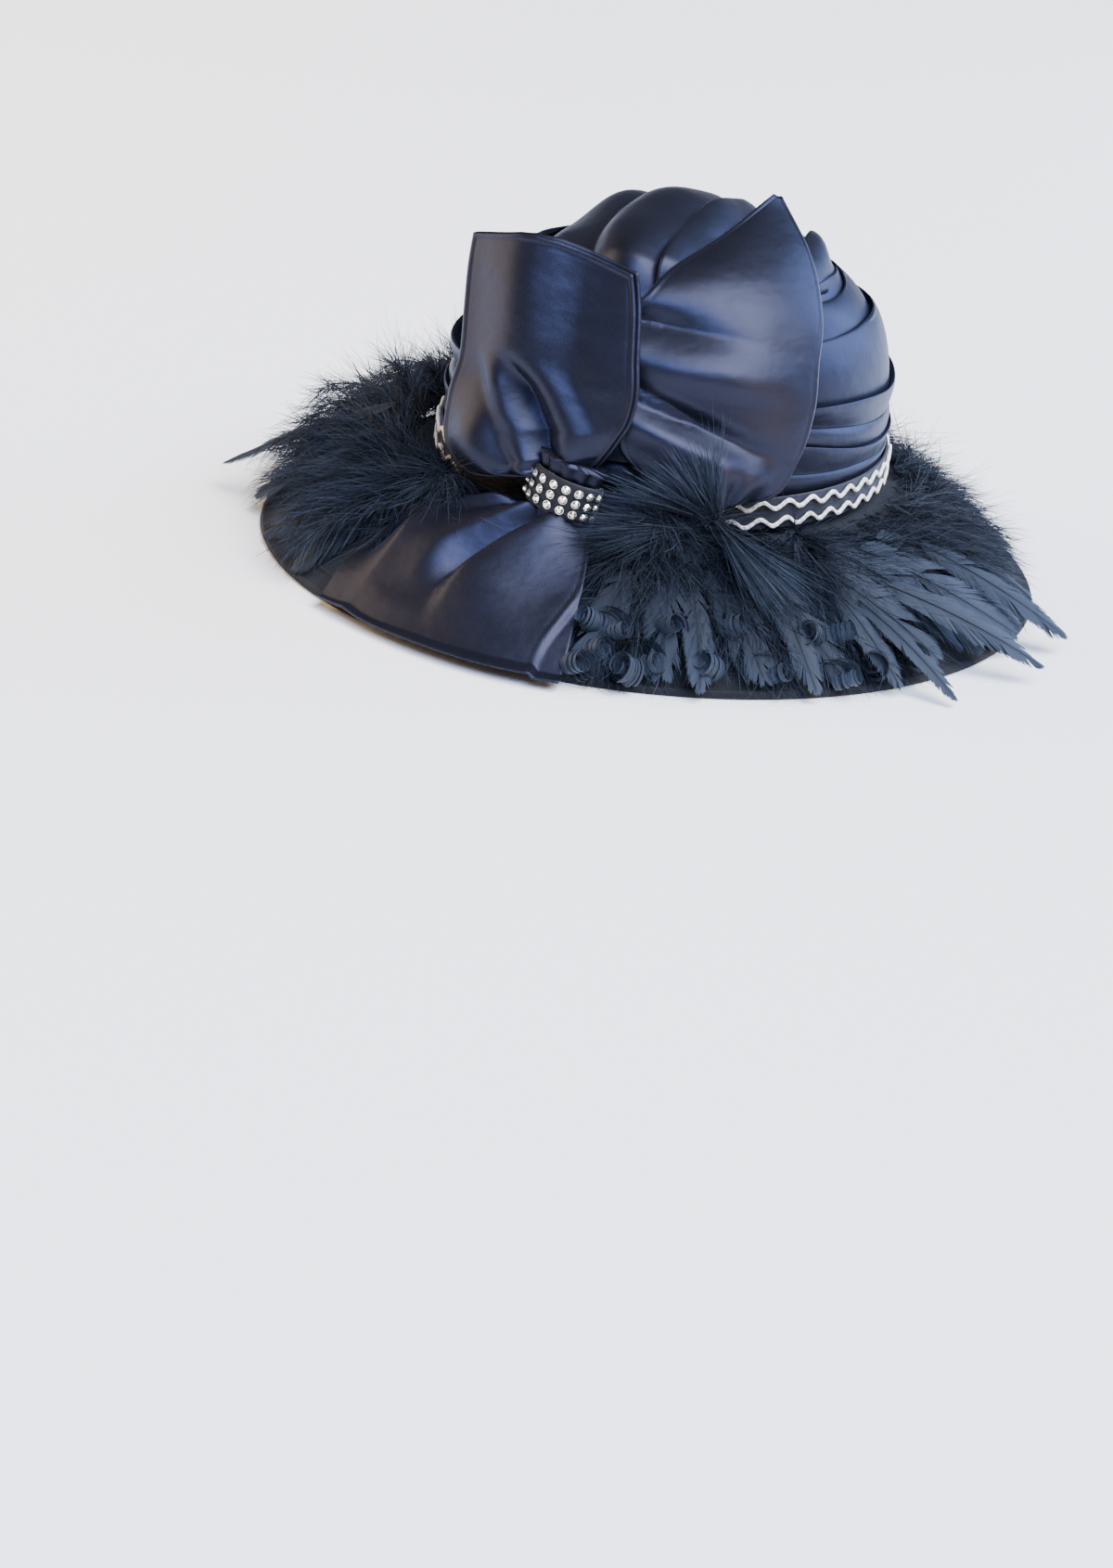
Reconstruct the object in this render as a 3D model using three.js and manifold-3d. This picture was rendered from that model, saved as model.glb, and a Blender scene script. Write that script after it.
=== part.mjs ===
import * as THREE from 'three';
import { ParametricGeometry } from 'three/addons/geometries/ParametricGeometry.js';
import { mergeVertices } from 'three/addons/utils/BufferGeometryUtils.js';
import Module from 'manifold-3d';

const wasm = await Module();
wasm.setup();

// Driving sizes in millimetres, with the hat resting on its rim at height 0

const HEAD_HALF_WIDTH = 80; // inside the crown, side to side
const HEAD_HALF_LENGTH = 96.5; // inside the crown, front to back
const FELT = 2.5;
const SATIN = 1.5;
const GAP = 0.35; // between neighbouring pieces

const RIM_HALF_WIDTH = 155;
const RIM_HALF_LENGTH = 166;
const BRIM_ROOT = 36; // height of the brim's underside where it meets the crown
const BRIM_FLAT_FROM = 0.955; // share of the brim's width where its underside turns flat
const BRIM_CURVE = 1.5;

const CROWN_TOP = 133;
const CROWN_SIDE_POWER = 0.5; // how squarely the crown's side stands up
const CROWN_TOP_POWER = 0.909; // how flat the crown's top is

const DRAPE_FOOT = 39.3;
const DRAPE_SMOOTH_BELOW = 56.5; // the folds start above the band

const BAND_FOOT = 42.5;
const BAND_TOP = 55;
const BAND_THICKNESS = 1.2;
const BRAID_HEIGHTS = { lower: 45.3, upper: 52.3 };
const BRAID_WAVES = 38;
const BRAID_SWING = 1.5; // half of a wave's height
const BRAID_WIDTH = 1.9;
const BRAID_THICKNESS = 1.4;

// Bearings turn about the crown from its back right quarter, where the bow is seen square on.
const BOW_SIDE = -60;

const rad = THREE.MathUtils.degToRad;
const { lerp, smoothstep, clamp } = THREE.MathUtils;

function outward(bearing) {
  const angle = rad(bearing + BOW_SIDE);
  return new THREE.Vector3(Math.cos(angle), Math.sin(angle), 0);
}

function sideways(bearing) {
  return outward(bearing + 90);
}

function bearingOf(point) {
  return THREE.MathUtils.radToDeg(Math.atan2(point.y, point.x)) - BOW_SIDE;
}

function oval(bearing, halfWidth, halfLength) {
  const direction = outward(bearing);
  return 1 / Math.hypot(direction.x / halfWidth, direction.y / halfLength);
}

function around(bearing, radius, height) {
  return outward(bearing).multiplyScalar(radius).setZ(height);
}

function bump(distance, spread) {
  const share = clamp(Math.abs(distance) / spread, 0, 1);
  return (1 + Math.cos(Math.PI * share)) / 2;
}

// A repeatable share from 0 to 1, so that locks differ from each other
function vary(seed, column) {
  const value = Math.sin(seed * 12.9898 + column * 78.233) * 43758.5453;
  return value - Math.floor(value);
}

function interpolate(rows, along, column, place) {
  let i = 1;
  while (i < rows.length - 1 && rows[i][along] < place) i += 1;
  const before = rows[i - 1];
  const after = rows[i];
  const share = clamp((place - before[along]) / (after[along] - before[along]), 0, 1);
  return lerp(before[column], after[column], share);
}

// Closed solids from grids of points

function closedSolid(shape) {
  shape.deleteAttribute('normal');
  shape.deleteAttribute('uv');
  const merged = mergeVertices(shape, 1e-3);
  const corners = merged.index.array;
  const kept = [];
  let volume = 0;
  const [a, b, c] = [new THREE.Vector3(), new THREE.Vector3(), new THREE.Vector3()];
  for (let i = 0; i < corners.length; i += 3) {
    const [p, q, r] = [corners[i], corners[i + 1], corners[i + 2]];
    if (p === q || q === r || r === p) continue;
    kept.push(p, q, r);
    a.fromBufferAttribute(merged.attributes.position, p);
    b.fromBufferAttribute(merged.attributes.position, q);
    c.fromBufferAttribute(merged.attributes.position, r);
    volume += a.dot(b.cross(c));
  }
  if (volume < 0) kept.reverse();
  merged.setIndex(kept);
  return merged;
}

// A ring whose cross-section is a closed loop of corners
function ringSolid(corner, cornerCount, columns) {
  return closedSolid(new ParametricGeometry((u, v, target) => {
    const k = Math.round(v * cornerCount) % cornerCount;
    const column = Math.round(u * columns) % columns;
    target.copy(corner((360 * column) / columns, k, column));
  }, columns, cornerCount));
}

// A hollow dome between two faces, each a function of bearing and of the share from foot to top
function domeSolid(outer, inner, columns, rows) {
  const stacks = 2 * (rows + 1);
  return closedSolid(new ParametricGeometry((u, v, target) => {
    const step = Math.round(v * stacks) % stacks;
    const bearing = (360 * (Math.round(u * columns) % columns)) / columns;
    const point = step <= rows ? outer(bearing, step / rows) : inner(bearing, (2 * rows + 1 - step) / rows);
    target.copy(point);
  }, columns, stacks));
}

// A sheet of even thickness about a middle surface, with flat ends
function sheetSolid(middle, thickness, across, along) {
  const loop = 2 * (across + 1);
  const stacks = along + 2;
  const nudge = 0.01;
  function normalAt(s, t) {
    const [x, y] = [clamp(s, 2 * nudge, 1 - 2 * nudge), clamp(t, 2 * nudge, 1 - 2 * nudge)];
    const overAcross = middle(x + nudge, y).sub(middle(x - nudge, y));
    const overAlong = middle(x, y + nudge).sub(middle(x, y - nudge));
    return overAcross.cross(overAlong).normalize();
  }
  return closedSolid(new ParametricGeometry((u, v, target) => {
    const j = Math.round(u * loop) % loop;
    const i = Math.round(v * stacks);
    const front = j <= across;
    const s = (front ? j : loop - 1 - j) / across;
    const t = clamp((i - 1) / along, 0, 1);
    const half = i === 0 || i === stacks ? 0 : thickness / 2;
    target.copy(middle(s, t)).addScaledVector(normalAt(s, t), front ? half : -half);
  }, loop, stacks));
}

// Joining and cutting

function toManifold(shape) {
  return new wasm.Manifold(new wasm.Mesh({
    numProp: 3,
    vertProperties: new Float32Array(shape.attributes.position.array),
    triVerts: new Uint32Array(shape.index.array),
  }));
}

function toGeometry(manifold) {
  const mesh = manifold.getMesh();
  const shape = new THREE.BufferGeometry();
  shape.setAttribute('position', new THREE.BufferAttribute(new Float32Array(mesh.vertProperties), 3));
  shape.setIndex(Array.from(mesh.triVerts));
  return shape;
}

function largestBody(manifold) {
  const bodies = manifold.decompose();
  bodies.sort((a, b) => b.volume() - a.volume());
  return bodies[0];
}

// Materials

function material(color, roughness) {
  return new THREE.MeshStandardMaterial({ color, roughness, metalness: 0 });
}

const feltCloth = material(0x22242c, 0.95);
const satinCloth = material(0x131622, 0.35);
const ribbonCloth = material(0x1b2238, 0.8);
const braidCloth = material(0xe8e5de, 0.7);
const stoneGlass = material(0xe6e2d6, 0.1);
const feather = material(0x10151d, 0.8);

const group = new THREE.Group();

function add(name, shape, cloth) {
  const mesh = new THREE.Mesh(shape, cloth);
  mesh.name = name;
  group.add(mesh);
}

// Brim: a felt wall from the crown to the rim, flat beneath its edge

function brimUnder(out) {
  const share = clamp(out / BRIM_FLAT_FROM, 0, 1);
  return BRIM_ROOT * (1 - share ** BRIM_CURVE);
}

function brimTop(out) {
  return brimUnder(out) + FELT;
}

function brimRadius(bearing, out) {
  const root = FELT + GAP;
  const inner = oval(bearing, HEAD_HALF_WIDTH + root, HEAD_HALF_LENGTH + root);
  const rim = oval(bearing, RIM_HALF_WIDTH, RIM_HALF_LENGTH);
  return lerp(inner, rim, out);
}

function onBrim(bearing, out, lift) {
  return around(bearing, brimRadius(bearing, out), brimTop(out) + lift);
}

const BRIM_STATIONS = [0, 0.2, 0.42, 0.64, 0.83, BRIM_FLAT_FROM, 1];

function brimSolid(grow) {
  const last = BRIM_STATIONS.length - 1;
  return ringSolid((bearing, k) => {
    const top = k <= last;
    const out = BRIM_STATIONS[top ? k : 2 * last + 1 - k];
    const height = top ? brimTop(out) + grow : brimUnder(out);
    return around(bearing, brimRadius(bearing, out), height);
  }, 2 * (last + 1), 44);
}

add('brim', brimSolid(0), feltCloth);

// Crown: a hollow felt dome

function domePoint(bearing, angle, offset) {
  const top = CROWN_TOP + offset;
  const share = Math.cos(angle) ** CROWN_TOP_POWER;
  const base = oval(bearing, HEAD_HALF_WIDTH + FELT + offset, HEAD_HALF_LENGTH + FELT + offset);
  return around(bearing, base * share, BRIM_ROOT + (top - BRIM_ROOT) * Math.sin(angle) ** CROWN_SIDE_POWER);
}

const CROWN_ANGLES = [0, 8, 24, 42, 58, 72, 83, 90].map(rad);

function crownFace(offset) {
  const last = CROWN_ANGLES.length - 1;
  return (bearing, share) => domePoint(bearing, CROWN_ANGLES[Math.round(share * last)], offset);
}

add('crown', domeSolid(crownFace(0), crownFace(-FELT), 32, CROWN_ANGLES.length - 1), feltCloth);

// Drape: satin round the crown. Each side fold rises to a lip and steps in above it.

const SIDE_FOLDS = [
  { bow: 67, right: 62, front: 61, left: 62, rise: 2.2 },
  { bow: 77, right: 73, front: 70, left: 73, rise: 3.0 },
  { bow: 92, right: 89, front: 86, left: 88, rise: 5.0 },
  { bow: 114, right: 113, front: 108, left: 112, rise: 5.5 },
  { bow: 126, right: 122, front: 120, left: 122, rise: 4.0 },
];

// Soft ridges over the top run from the bow to the front, at these places across the top.
const TOP_RIDGES = [
  { across: 44, rise: 2.5, spread: 26 },
  { across: 14, rise: 6.0, spread: 24 },
  { across: -16, rise: 11.0, spread: 28 },
  { across: -46, rise: 9.0, spread: 28 },
];

const LIP_WIDTH = 3.5; // how far a lip takes to step in

function lipHeight(fold, bearing) {
  const [bow, right] = [Math.cos(rad(bearing)), Math.sin(rad(bearing))];
  const frontOrBow = bow > 0 ? fold.bow : fold.front;
  const leftOrRight = right > 0 ? fold.right : fold.left;
  return frontOrBow * bow * bow + leftOrRight * right * right;
}

// The rise within one fold, from its foot to its lip, and the step in beyond the lip
function sawtooth(place, start, lip, rise) {
  const climb = clamp((place - start) / (lip - start), 0, 1) ** 1.6;
  return rise * climb;
}

function sideRise(bearing, height) {
  let start = DRAPE_SMOOTH_BELOW;
  for (const fold of SIDE_FOLDS) {
    const lip = lipHeight(fold, bearing);
    if (height <= lip + LIP_WIDTH) {
      const within = sawtooth(height, start, lip, fold.rise);
      return within * (1 - smoothstep(height, lip, lip + LIP_WIDTH));
    }
    start = lip + LIP_WIDTH;
  }
  return 0;
}

function topRise(point) {
  const across = point.dot(sideways(0));
  let rise = 0;
  for (const ridge of TOP_RIDGES) {
    rise += ridge.rise * bump(across - ridge.across, ridge.spread);
  }
  return rise;
}

const DRAPE_OFFSET = GAP + SATIN / 2;
const DRAPE_ROWS = 17;
const DRAPE_SIDE_ROWS = 13;
const DRAPE_SIDE_TOP = 124;

function drapeAngle(share) {
  const row = share * DRAPE_ROWS;
  const span = CROWN_TOP + DRAPE_OFFSET - BRIM_ROOT;
  function angleAt(height) {
    return Math.asin(((height - BRIM_ROOT) / span) ** 2);
  }
  if (row <= DRAPE_SIDE_ROWS) {
    return angleAt(lerp(DRAPE_FOOT, DRAPE_SIDE_TOP, (row / DRAPE_SIDE_ROWS) ** 0.85));
  }
  const rest = (row - DRAPE_SIDE_ROWS) / (DRAPE_ROWS - DRAPE_SIDE_ROWS);
  return lerp(angleAt(DRAPE_SIDE_TOP), Math.PI / 2, rest);
}

function drapeFace(extra) {
  return (bearing, share) => {
    const angle = drapeAngle(share);
    const flat = domePoint(bearing, angle, DRAPE_OFFSET);
    const topShare = smoothstep(flat.z, 120, 130);
    const rise = lerp(sideRise(bearing, flat.z), topRise(flat), topShare);
    const point = domePoint(bearing, angle, DRAPE_OFFSET + rise + extra);
    point.z = Math.max(point.z, DRAPE_FOOT);
    return point;
  };
}

add('crown_drape', domeSolid(drapeFace(SATIN / 2), drapeFace(-SATIN / 2), 40, DRAPE_ROWS), satinCloth);

// Band and wavy braids round the foot of the crown

const BAND_INNER = 2 * GAP + SATIN;

function ringCorner(k, inner, outer, foot, top) {
  const offset = k === 0 || k === 3 ? inner : outer;
  return { offset, height: k < 2 ? foot : top };
}

function trimPoint(bearing, offset, height) {
  const felt = FELT + offset;
  return around(bearing, oval(bearing, HEAD_HALF_WIDTH + felt, HEAD_HALF_LENGTH + felt), height);
}

function bandSolid(grow) {
  const outer = BAND_INNER + BAND_THICKNESS + grow;
  return ringSolid((bearing, k) => {
    const corner = ringCorner(k, BAND_INNER, outer, BAND_FOOT - grow, BAND_TOP + grow);
    return trimPoint(bearing, corner.offset, corner.height);
  }, 4, 40);
}

add('hat_band', bandSolid(0), ribbonCloth);

const BRAID_INNER = BAND_INNER + BAND_THICKNESS + GAP;

for (const [edge, middle] of Object.entries(BRAID_HEIGHTS)) {
  const solid = ringSolid((bearing, k, column) => {
    const swing = column % 2 === 0 ? BRAID_SWING : -BRAID_SWING;
    const half = BRAID_WIDTH / 2;
    const corner = ringCorner(k, BRAID_INNER, BRAID_INNER + BRAID_THICKNESS, middle - half, middle + half);
    return trimPoint(bearing, corner.offset, corner.height + swing);
  }, 4, 2 * BRAID_WAVES);
  add(`braid_${edge}`, solid, braidCloth);
}

// Bow knot and the strip of stones round it

const KNOT = { bearing: -18, radius: 112.5, height: 54.5 };
const KNOT_HALF = { across: 12.5, depth: 6, height: 8.5 };
const STONE_BAND = { halfAcross: 13.2, halfDepth: 6.7, thickness: 1.2, height: 14.5, halfTurn: 96 };
const STONE_ROWS = 3;
const STONE_COLUMNS = 8;
const STONE_ROW_PITCH = 4.3;
const STONE_HALF_TURN = 72;
const STONE = { radius: 1.8, table: 1.1, girdle: 0.5, height: 1.6, sides: 8 };

const knotCentre = around(KNOT.bearing, KNOT.radius, KNOT.height);

const knotShape = new THREE.SphereGeometry(1, 12, 8);
knotShape.scale(KNOT_HALF.across, KNOT_HALF.height, KNOT_HALF.depth);
const knotTurn = new THREE.Matrix4().makeBasis(
  sideways(KNOT.bearing),
  new THREE.Vector3(0, 0, 1),
  outward(KNOT.bearing),
);
knotShape.applyMatrix4(knotTurn.setPosition(knotCentre));
add('bow_knot', closedSolid(knotShape), satinCloth);

function roundKnot(turn, proud, up) {
  const across = (STONE_BAND.halfAcross + proud) * Math.sin(rad(turn));
  const depth = (STONE_BAND.halfDepth + proud) * Math.cos(rad(turn));
  return knotCentre.clone()
    .addScaledVector(sideways(KNOT.bearing), across)
    .addScaledVector(outward(KNOT.bearing), depth)
    .setZ(KNOT.height + up);
}

add('stone_band', sheetSolid((s, t) => {
  const up = lerp(-0.5, 0.5, s) * STONE_BAND.height;
  return roundKnot(lerp(-1, 1, t) * STONE_BAND.halfTurn, STONE_BAND.thickness / 2, up);
}, STONE_BAND.thickness, 1, 16), ribbonCloth);

const stoneProfile = [
  new THREE.Vector2(0, 0),
  new THREE.Vector2(STONE.radius, STONE.girdle),
  new THREE.Vector2(STONE.table, STONE.height),
  new THREE.Vector2(0, STONE.height),
];

for (let row = 1; row <= STONE_ROWS; row += 1) {
  for (let column = 1; column <= STONE_COLUMNS; column += 1) {
    const turn = lerp(-STONE_HALF_TURN, STONE_HALF_TURN, (column - 1) / (STONE_COLUMNS - 1));
    const up = STONE_ROW_PITCH * ((STONE_ROWS + 1) / 2 - row);
    const seat = roundKnot(turn, STONE_BAND.thickness, up);
    const facing = roundKnot(turn, STONE_BAND.thickness + 4, up).sub(seat).normalize();
    const shape = new THREE.LatheGeometry(stoneProfile, STONE.sides);
    const toward = new THREE.Quaternion().setFromUnitVectors(new THREE.Vector3(0, 1, 0), facing);
    shape.applyQuaternion(toward);
    const place = seat.addScaledVector(facing, GAP);
    shape.translate(place.x, place.y, place.z);
    add(`stone_r${row}_c${column}`, closedSolid(shape), stoneGlass);
  }
}

// Bow leaves: each is lofted between its left and right edges, from its foot to its top

function pushClear(point, offset) {
  const centre = new THREE.Vector3(0, 0, BRIM_ROOT);
  const span = CROWN_TOP + offset - BRIM_ROOT;
  const ray = point.clone().sub(centre);
  const base = oval(bearingOf(point), HEAD_HALF_WIDTH + FELT + offset, HEAD_HALF_LENGTH + FELT + offset);
  function depth(scale) {
    const level = clamp((ray.z * scale) / span, 0, 2) ** (2 / CROWN_SIDE_POWER);
    return level + ((Math.hypot(ray.x, ray.y) * scale) / base) ** (2 / CROWN_TOP_POWER);
  }
  let scale = 1;
  while (depth(scale) < 1) scale += 0.004;
  return centre.addScaledVector(ray, scale);
}

function splineOf(rows, columns) {
  return new THREE.CatmullRomCurve3(rows.map((row) => new THREE.Vector3(...columns.map((c) => row[c]))));
}

function foldRise(folds, across, along) {
  let rise = 0;
  for (const fold of folds) {
    const fade = smoothstep(along, 0, 0.12) * (1 - smoothstep(along, fold.fadeFrom, fold.fadeTo));
    rise += fold.rise * fade * bump(across - fold.across, fold.spread);
  }
  return rise;
}

const LEAF_CLEAR = 9.2; // from the felt crown to the middle of a leaf

// Left leaf: heights and places across it, with its face turned to this bearing
const LEFT_LEAF_BEARING = -28;
const LEFT_LEAF_STAND = { foot: 117, lean: -0.2, leanFrom: 60, curve: 320, arch: 8 };
const LEFT_LEAF_EDGES = [
  { left: 3, leftUp: 63, right: 25, rightUp: 66 },
  { left: -20, leftUp: 54, right: 31, rightUp: 71 },
  { left: -34, leftUp: 62, right: 36, rightUp: 78 },
  { left: -37.5, leftUp: 79, right: 39.5, rightUp: 87 },
  { left: -36.5, leftUp: 95, right: 39.5, rightUp: 98 },
  { left: -39.5, leftUp: 112, right: 36, rightUp: 110 },
  { left: -42.5, leftUp: 127, right: 31.5, rightUp: 125 },
  { left: -45, leftUp: 139, right: 26, rightUp: 139 },
];
const LEFT_LEAF_FOLDS = [
  { across: 0.15, rise: 5, spread: 0.14, fadeFrom: 0.3, fadeTo: 0.9 },
  { across: 0.44, rise: 7, spread: 0.16, fadeFrom: 0.4, fadeTo: 1 },
  { across: 0.64, rise: -4, spread: 0.09, fadeFrom: 0.3, fadeTo: 0.8 },
  { across: 0.85, rise: 4, spread: 0.13, fadeFrom: 0.3, fadeTo: 0.9 },
];
const leftLeafLeft = splineOf(LEFT_LEAF_EDGES, ['left', 'leftUp', 'left']);
const leftLeafRight = splineOf(LEFT_LEAF_EDGES, ['right', 'rightUp', 'right']);

function leftLeaf(s, t) {
  const place = leftLeafLeft.getPoint(t).lerp(leftLeafRight.getPoint(t), s);
  const up = place.y + LEFT_LEAF_STAND.arch * t ** 4 * Math.sin(Math.PI * s);
  const curve = place.x ** 2 / LEFT_LEAF_STAND.curve;
  const stand = LEFT_LEAF_STAND.foot + LEFT_LEAF_STAND.lean * (up - LEFT_LEAF_STAND.leanFrom) - curve;
  const point = outward(LEFT_LEAF_BEARING).multiplyScalar(stand + foldRise(LEFT_LEAF_FOLDS, s, t));
  return point.addScaledVector(sideways(LEFT_LEAF_BEARING), place.x).setZ(up);
}

function leftLeafSolid(grow) {
  return sheetSolid(leftLeaf, SATIN + grow, 9, 11);
}

add('bow_leaf_left', leftLeafSolid(0), satinCloth);

// Right leaf: places across, up and out from the axis, with its face turned to this bearing
const RIGHT_LEAF_BEARING = 22;
const RIGHT_LEAF_BULGE = 11;
const RIGHT_LEAF_EDGES = [
  { left: -40, leftUp: 62, leftOut: 98, right: -14, rightUp: 56.5, rightOut: 104 },
  { left: -54, leftUp: 74, leftOut: 92, right: 8, rightUp: 61, rightOut: 100 },
  { left: -57, leftUp: 89, leftOut: 89, right: 17, rightUp: 75, rightOut: 97 },
  { left: -56, leftUp: 105, leftOut: 83, right: 22, rightUp: 92, rightOut: 92 },
  { left: -51, leftUp: 121, leftOut: 74, right: 25, rightUp: 108, rightOut: 85 },
  { left: -36, leftUp: 134, leftOut: 61, right: 28, rightUp: 123, rightOut: 72 },
  { left: -10, leftUp: 142, leftOut: 44, right: 30, rightUp: 137, rightOut: 45 },
  { left: 19, leftUp: 150, leftOut: 18, right: 31, rightUp: 151, rightOut: 12 },
];
const RIGHT_LEAF_FOLDS = [
  { across: 0.3, rise: 4, spread: 0.16, fadeFrom: 0.5, fadeTo: 1 },
  { across: 0.55, rise: -4, spread: 0.12, fadeFrom: 0.3, fadeTo: 0.9 },
  { across: 0.78, rise: 4, spread: 0.15, fadeFrom: 0.4, fadeTo: 1 },
];
const rightLeafLeft = splineOf(RIGHT_LEAF_EDGES, ['left', 'leftUp', 'leftOut']);
const rightLeafRight = splineOf(RIGHT_LEAF_EDGES, ['right', 'rightUp', 'rightOut']);

function rightLeaf(s, t) {
  const place = rightLeafLeft.getPoint(t).lerp(rightLeafRight.getPoint(t), s);
  const bulge = RIGHT_LEAF_BULGE * Math.sin(Math.PI * s) + foldRise(RIGHT_LEAF_FOLDS, s, t);
  const lean = smoothstep(t, 0.5, 1);
  const point = outward(RIGHT_LEAF_BEARING).multiplyScalar(place.z + bulge * (1 - 0.7 * lean));
  point.addScaledVector(sideways(RIGHT_LEAF_BEARING), place.x).setZ(place.y + 0.7 * bulge * lean);
  return pushClear(point, LEAF_CLEAR);
}

function rightLeafSolid(grow) {
  return sheetSolid(rightLeaf, SATIN + grow, 8, 11);
}

add('bow_leaf_right', rightLeafSolid(0), satinCloth);

// Tail: spread over the brim from the knot, its end past the rim
const TAIL_EDGES = [
  { along: 0, left: -30, right: -12 },
  { along: 0.25, left: -46, right: -10 },
  { along: 0.6, left: -48, right: -9 },
  { along: 1, left: -46, right: -8.5 },
];
const TAIL_OUT = { start: 0.24, leftEnd: 1, rightEnd: 1.15 };
const TAIL_LIFT = { start: 9, end: 3.2 };
const TAIL_FLOOR = 1.2; // least height of the middle of the cloth
const TAIL_FOLDS = [
  { across: 0.14, rise: 4, spread: 0.14, fadeFrom: 0.7, fadeTo: 1.2 },
  { across: 0.42, rise: 6, spread: 0.13, fadeFrom: 0.6, fadeTo: 1.1 },
  { across: 0.8, rise: 5, spread: 0.15, fadeFrom: 0.7, fadeTo: 1.2 },
];

function tail(s, t) {
  const left = interpolate(TAIL_EDGES, 'along', 'left', t);
  const bearing = lerp(left, interpolate(TAIL_EDGES, 'along', 'right', t), s);
  const out = lerp(TAIL_OUT.start, lerp(TAIL_OUT.leftEnd, TAIL_OUT.rightEnd, smoothstep(s, 0, 0.8)), t);
  const lift = lerp(TAIL_LIFT.start, TAIL_LIFT.end, smoothstep(t, 0, 0.5)) + foldRise(TAIL_FOLDS, s, t);
  const point = onBrim(bearing, out, lift);
  const droop = 2.5 * Math.max(0, out - 1) / 0.15;
  return point.setZ(Math.max(point.z - droop, TAIL_FLOOR));
}

function tailSolid(grow) {
  return sheetSolid(tail, SATIN + grow, 9, 10);
}

add('bow_tail', tailSolid(0), satinCloth);

// Feathers: locks fused to a backing that lies on the brim

// Each plume's columns near, mid, far and low are the heights above the brim of the tips of its tiers.
const PLUMES = [
  { name: 'left', from: -164, to: -55, locks: 24, near: 30, mid: 34, far: 26, low: 4, reach: 1.03, width: 17 },
  { name: 'back', from: -4, to: 40, locks: 11, near: 14, mid: 10, far: 5, low: 4, reach: 0.98, width: 14 },
  { name: 'right', from: 46, to: 134, locks: 19, near: 14, mid: 10, far: 6, low: 4, reach: 1.03, width: 16 },
  { name: 'front', from: 140, to: 190, locks: 11, near: 16, mid: 11, far: 5, low: 4, reach: 0.9, width: 16 },
];
const TIERS = [
  { name: 'near', out: 0.5 },
  { name: 'mid', out: 0.8 },
  { name: 'far', out: 1.0 },
  { name: 'low', out: 0.9 },
];
const LOCK_THICKNESS = 5;
const LOCK_ROOT = { out: 0.2, lift: 5 };
const BACKING = { from: 0.14, to: 0.34, lift: 1.2, height: 6 };
const QUILLS = [
  { plume: 'left', bearing: -97, turn: -4, from: 0.35, to: 1.2, width: 11, lift: 24 },
  { plume: 'right', bearing: 70, turn: 4, from: 0.3, to: 1.28, width: 12, lift: 7 },
  { plume: 'right', bearing: 55, turn: 0, from: 0.3, to: 1.24, width: 12, lift: 6 },
];
const CURLS = [
  { plume: 'back', bearing: -2.5, out: 0.92 },
  { plume: 'back', bearing: 10, out: 0.98 },
  { plume: 'back', bearing: 23, out: 0.94 },
  { plume: 'back', bearing: 35, out: 0.97 },
];
const CURL = { radius: 6, turns: 1.05, width: 6, thickness: 1.4, root: 0.45, lift: 6 };
const FEATHER_FLOOR = 1.2;

function lockSolid(root, knee, tip, bearing, width) {
  const path = new THREE.QuadraticBezierCurve3(root, knee, tip);
  const stations = [
    { along: 0, share: 0 },
    { along: 0.15, share: 0.6 },
    { along: 0.6, share: 1 },
    { along: 1, share: 0 },
  ];
  return closedSolid(new ParametricGeometry((u, v, target) => {
    const station = stations[Math.round(v * 3)];
    const corner = Math.round(u * 3) % 3;
    const side = sideways(bearing);
    const over = side.clone().cross(path.getTangent(station.along)).multiplyScalar(-1);
    target.copy(path.getPoint(station.along))
      .addScaledVector(side, (corner - 1) * station.share * (width / 2))
      .addScaledVector(over, corner === 1 ? station.share * LOCK_THICKNESS : 0);
    target.z = Math.max(target.z, FEATHER_FLOOR);
  }, 3, 3));
}

function backingSolid(plume) {
  const along = Math.ceil((plume.to - plume.from) / 11);
  return sheetSolid((s, t) => {
    const bearing = lerp(plume.from, plume.to, t);
    const lift = BACKING.lift + BACKING.height / 2;
    return onBrim(bearing, lerp(BACKING.from, BACKING.to, s), lift);
  }, BACKING.height, 1, along);
}

function quillSolid(quill) {
  return sheetSolid((s, t) => {
    const half = (quill.width / 2) * Math.sin(Math.PI * lerp(0.12, 0.93, t)) ** 0.6;
    const bearing = quill.bearing + quill.turn * t;
    const out = lerp(quill.from, quill.to, t);
    const lift = quill.lift * (1 - 0.3 * t);
    const point = onBrim(bearing, out, lift).addScaledVector(sideways(bearing), lerp(-half, half, s));
    return point.setZ(Math.max(point.z, FEATHER_FLOOR + 0.6));
  }, 1.2, 1, 6);
}

// A strip that runs out from the backing and rolls up at its end
function curlSolid(curl) {
  const run = 0.55; // share of the strip before it rolls
  const hub = onBrim(curl.bearing, curl.out, CURL.radius + 4);
  return sheetSolid((s, t) => {
    const half = lerp(-0.5, 0.5, s) * CURL.width;
    if (t <= run) {
      const out = lerp(CURL.root, curl.out, t / run);
      const lift = lerp(CURL.lift, 4, t / run);
      return onBrim(curl.bearing, out, lift).addScaledVector(sideways(curl.bearing), half);
    }
    const turn = ((t - run) / (1 - run)) * CURL.turns * 2 * Math.PI - Math.PI / 2;
    const radius = CURL.radius * (1 - (0.5 * (t - run)) / (1 - run));
    const point = hub.clone().addScaledVector(outward(curl.bearing), radius * Math.cos(turn));
    point.z += radius * Math.sin(turn);
    return point.addScaledVector(sideways(curl.bearing), half);
  }, CURL.thickness, 1, 10);
}

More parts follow.
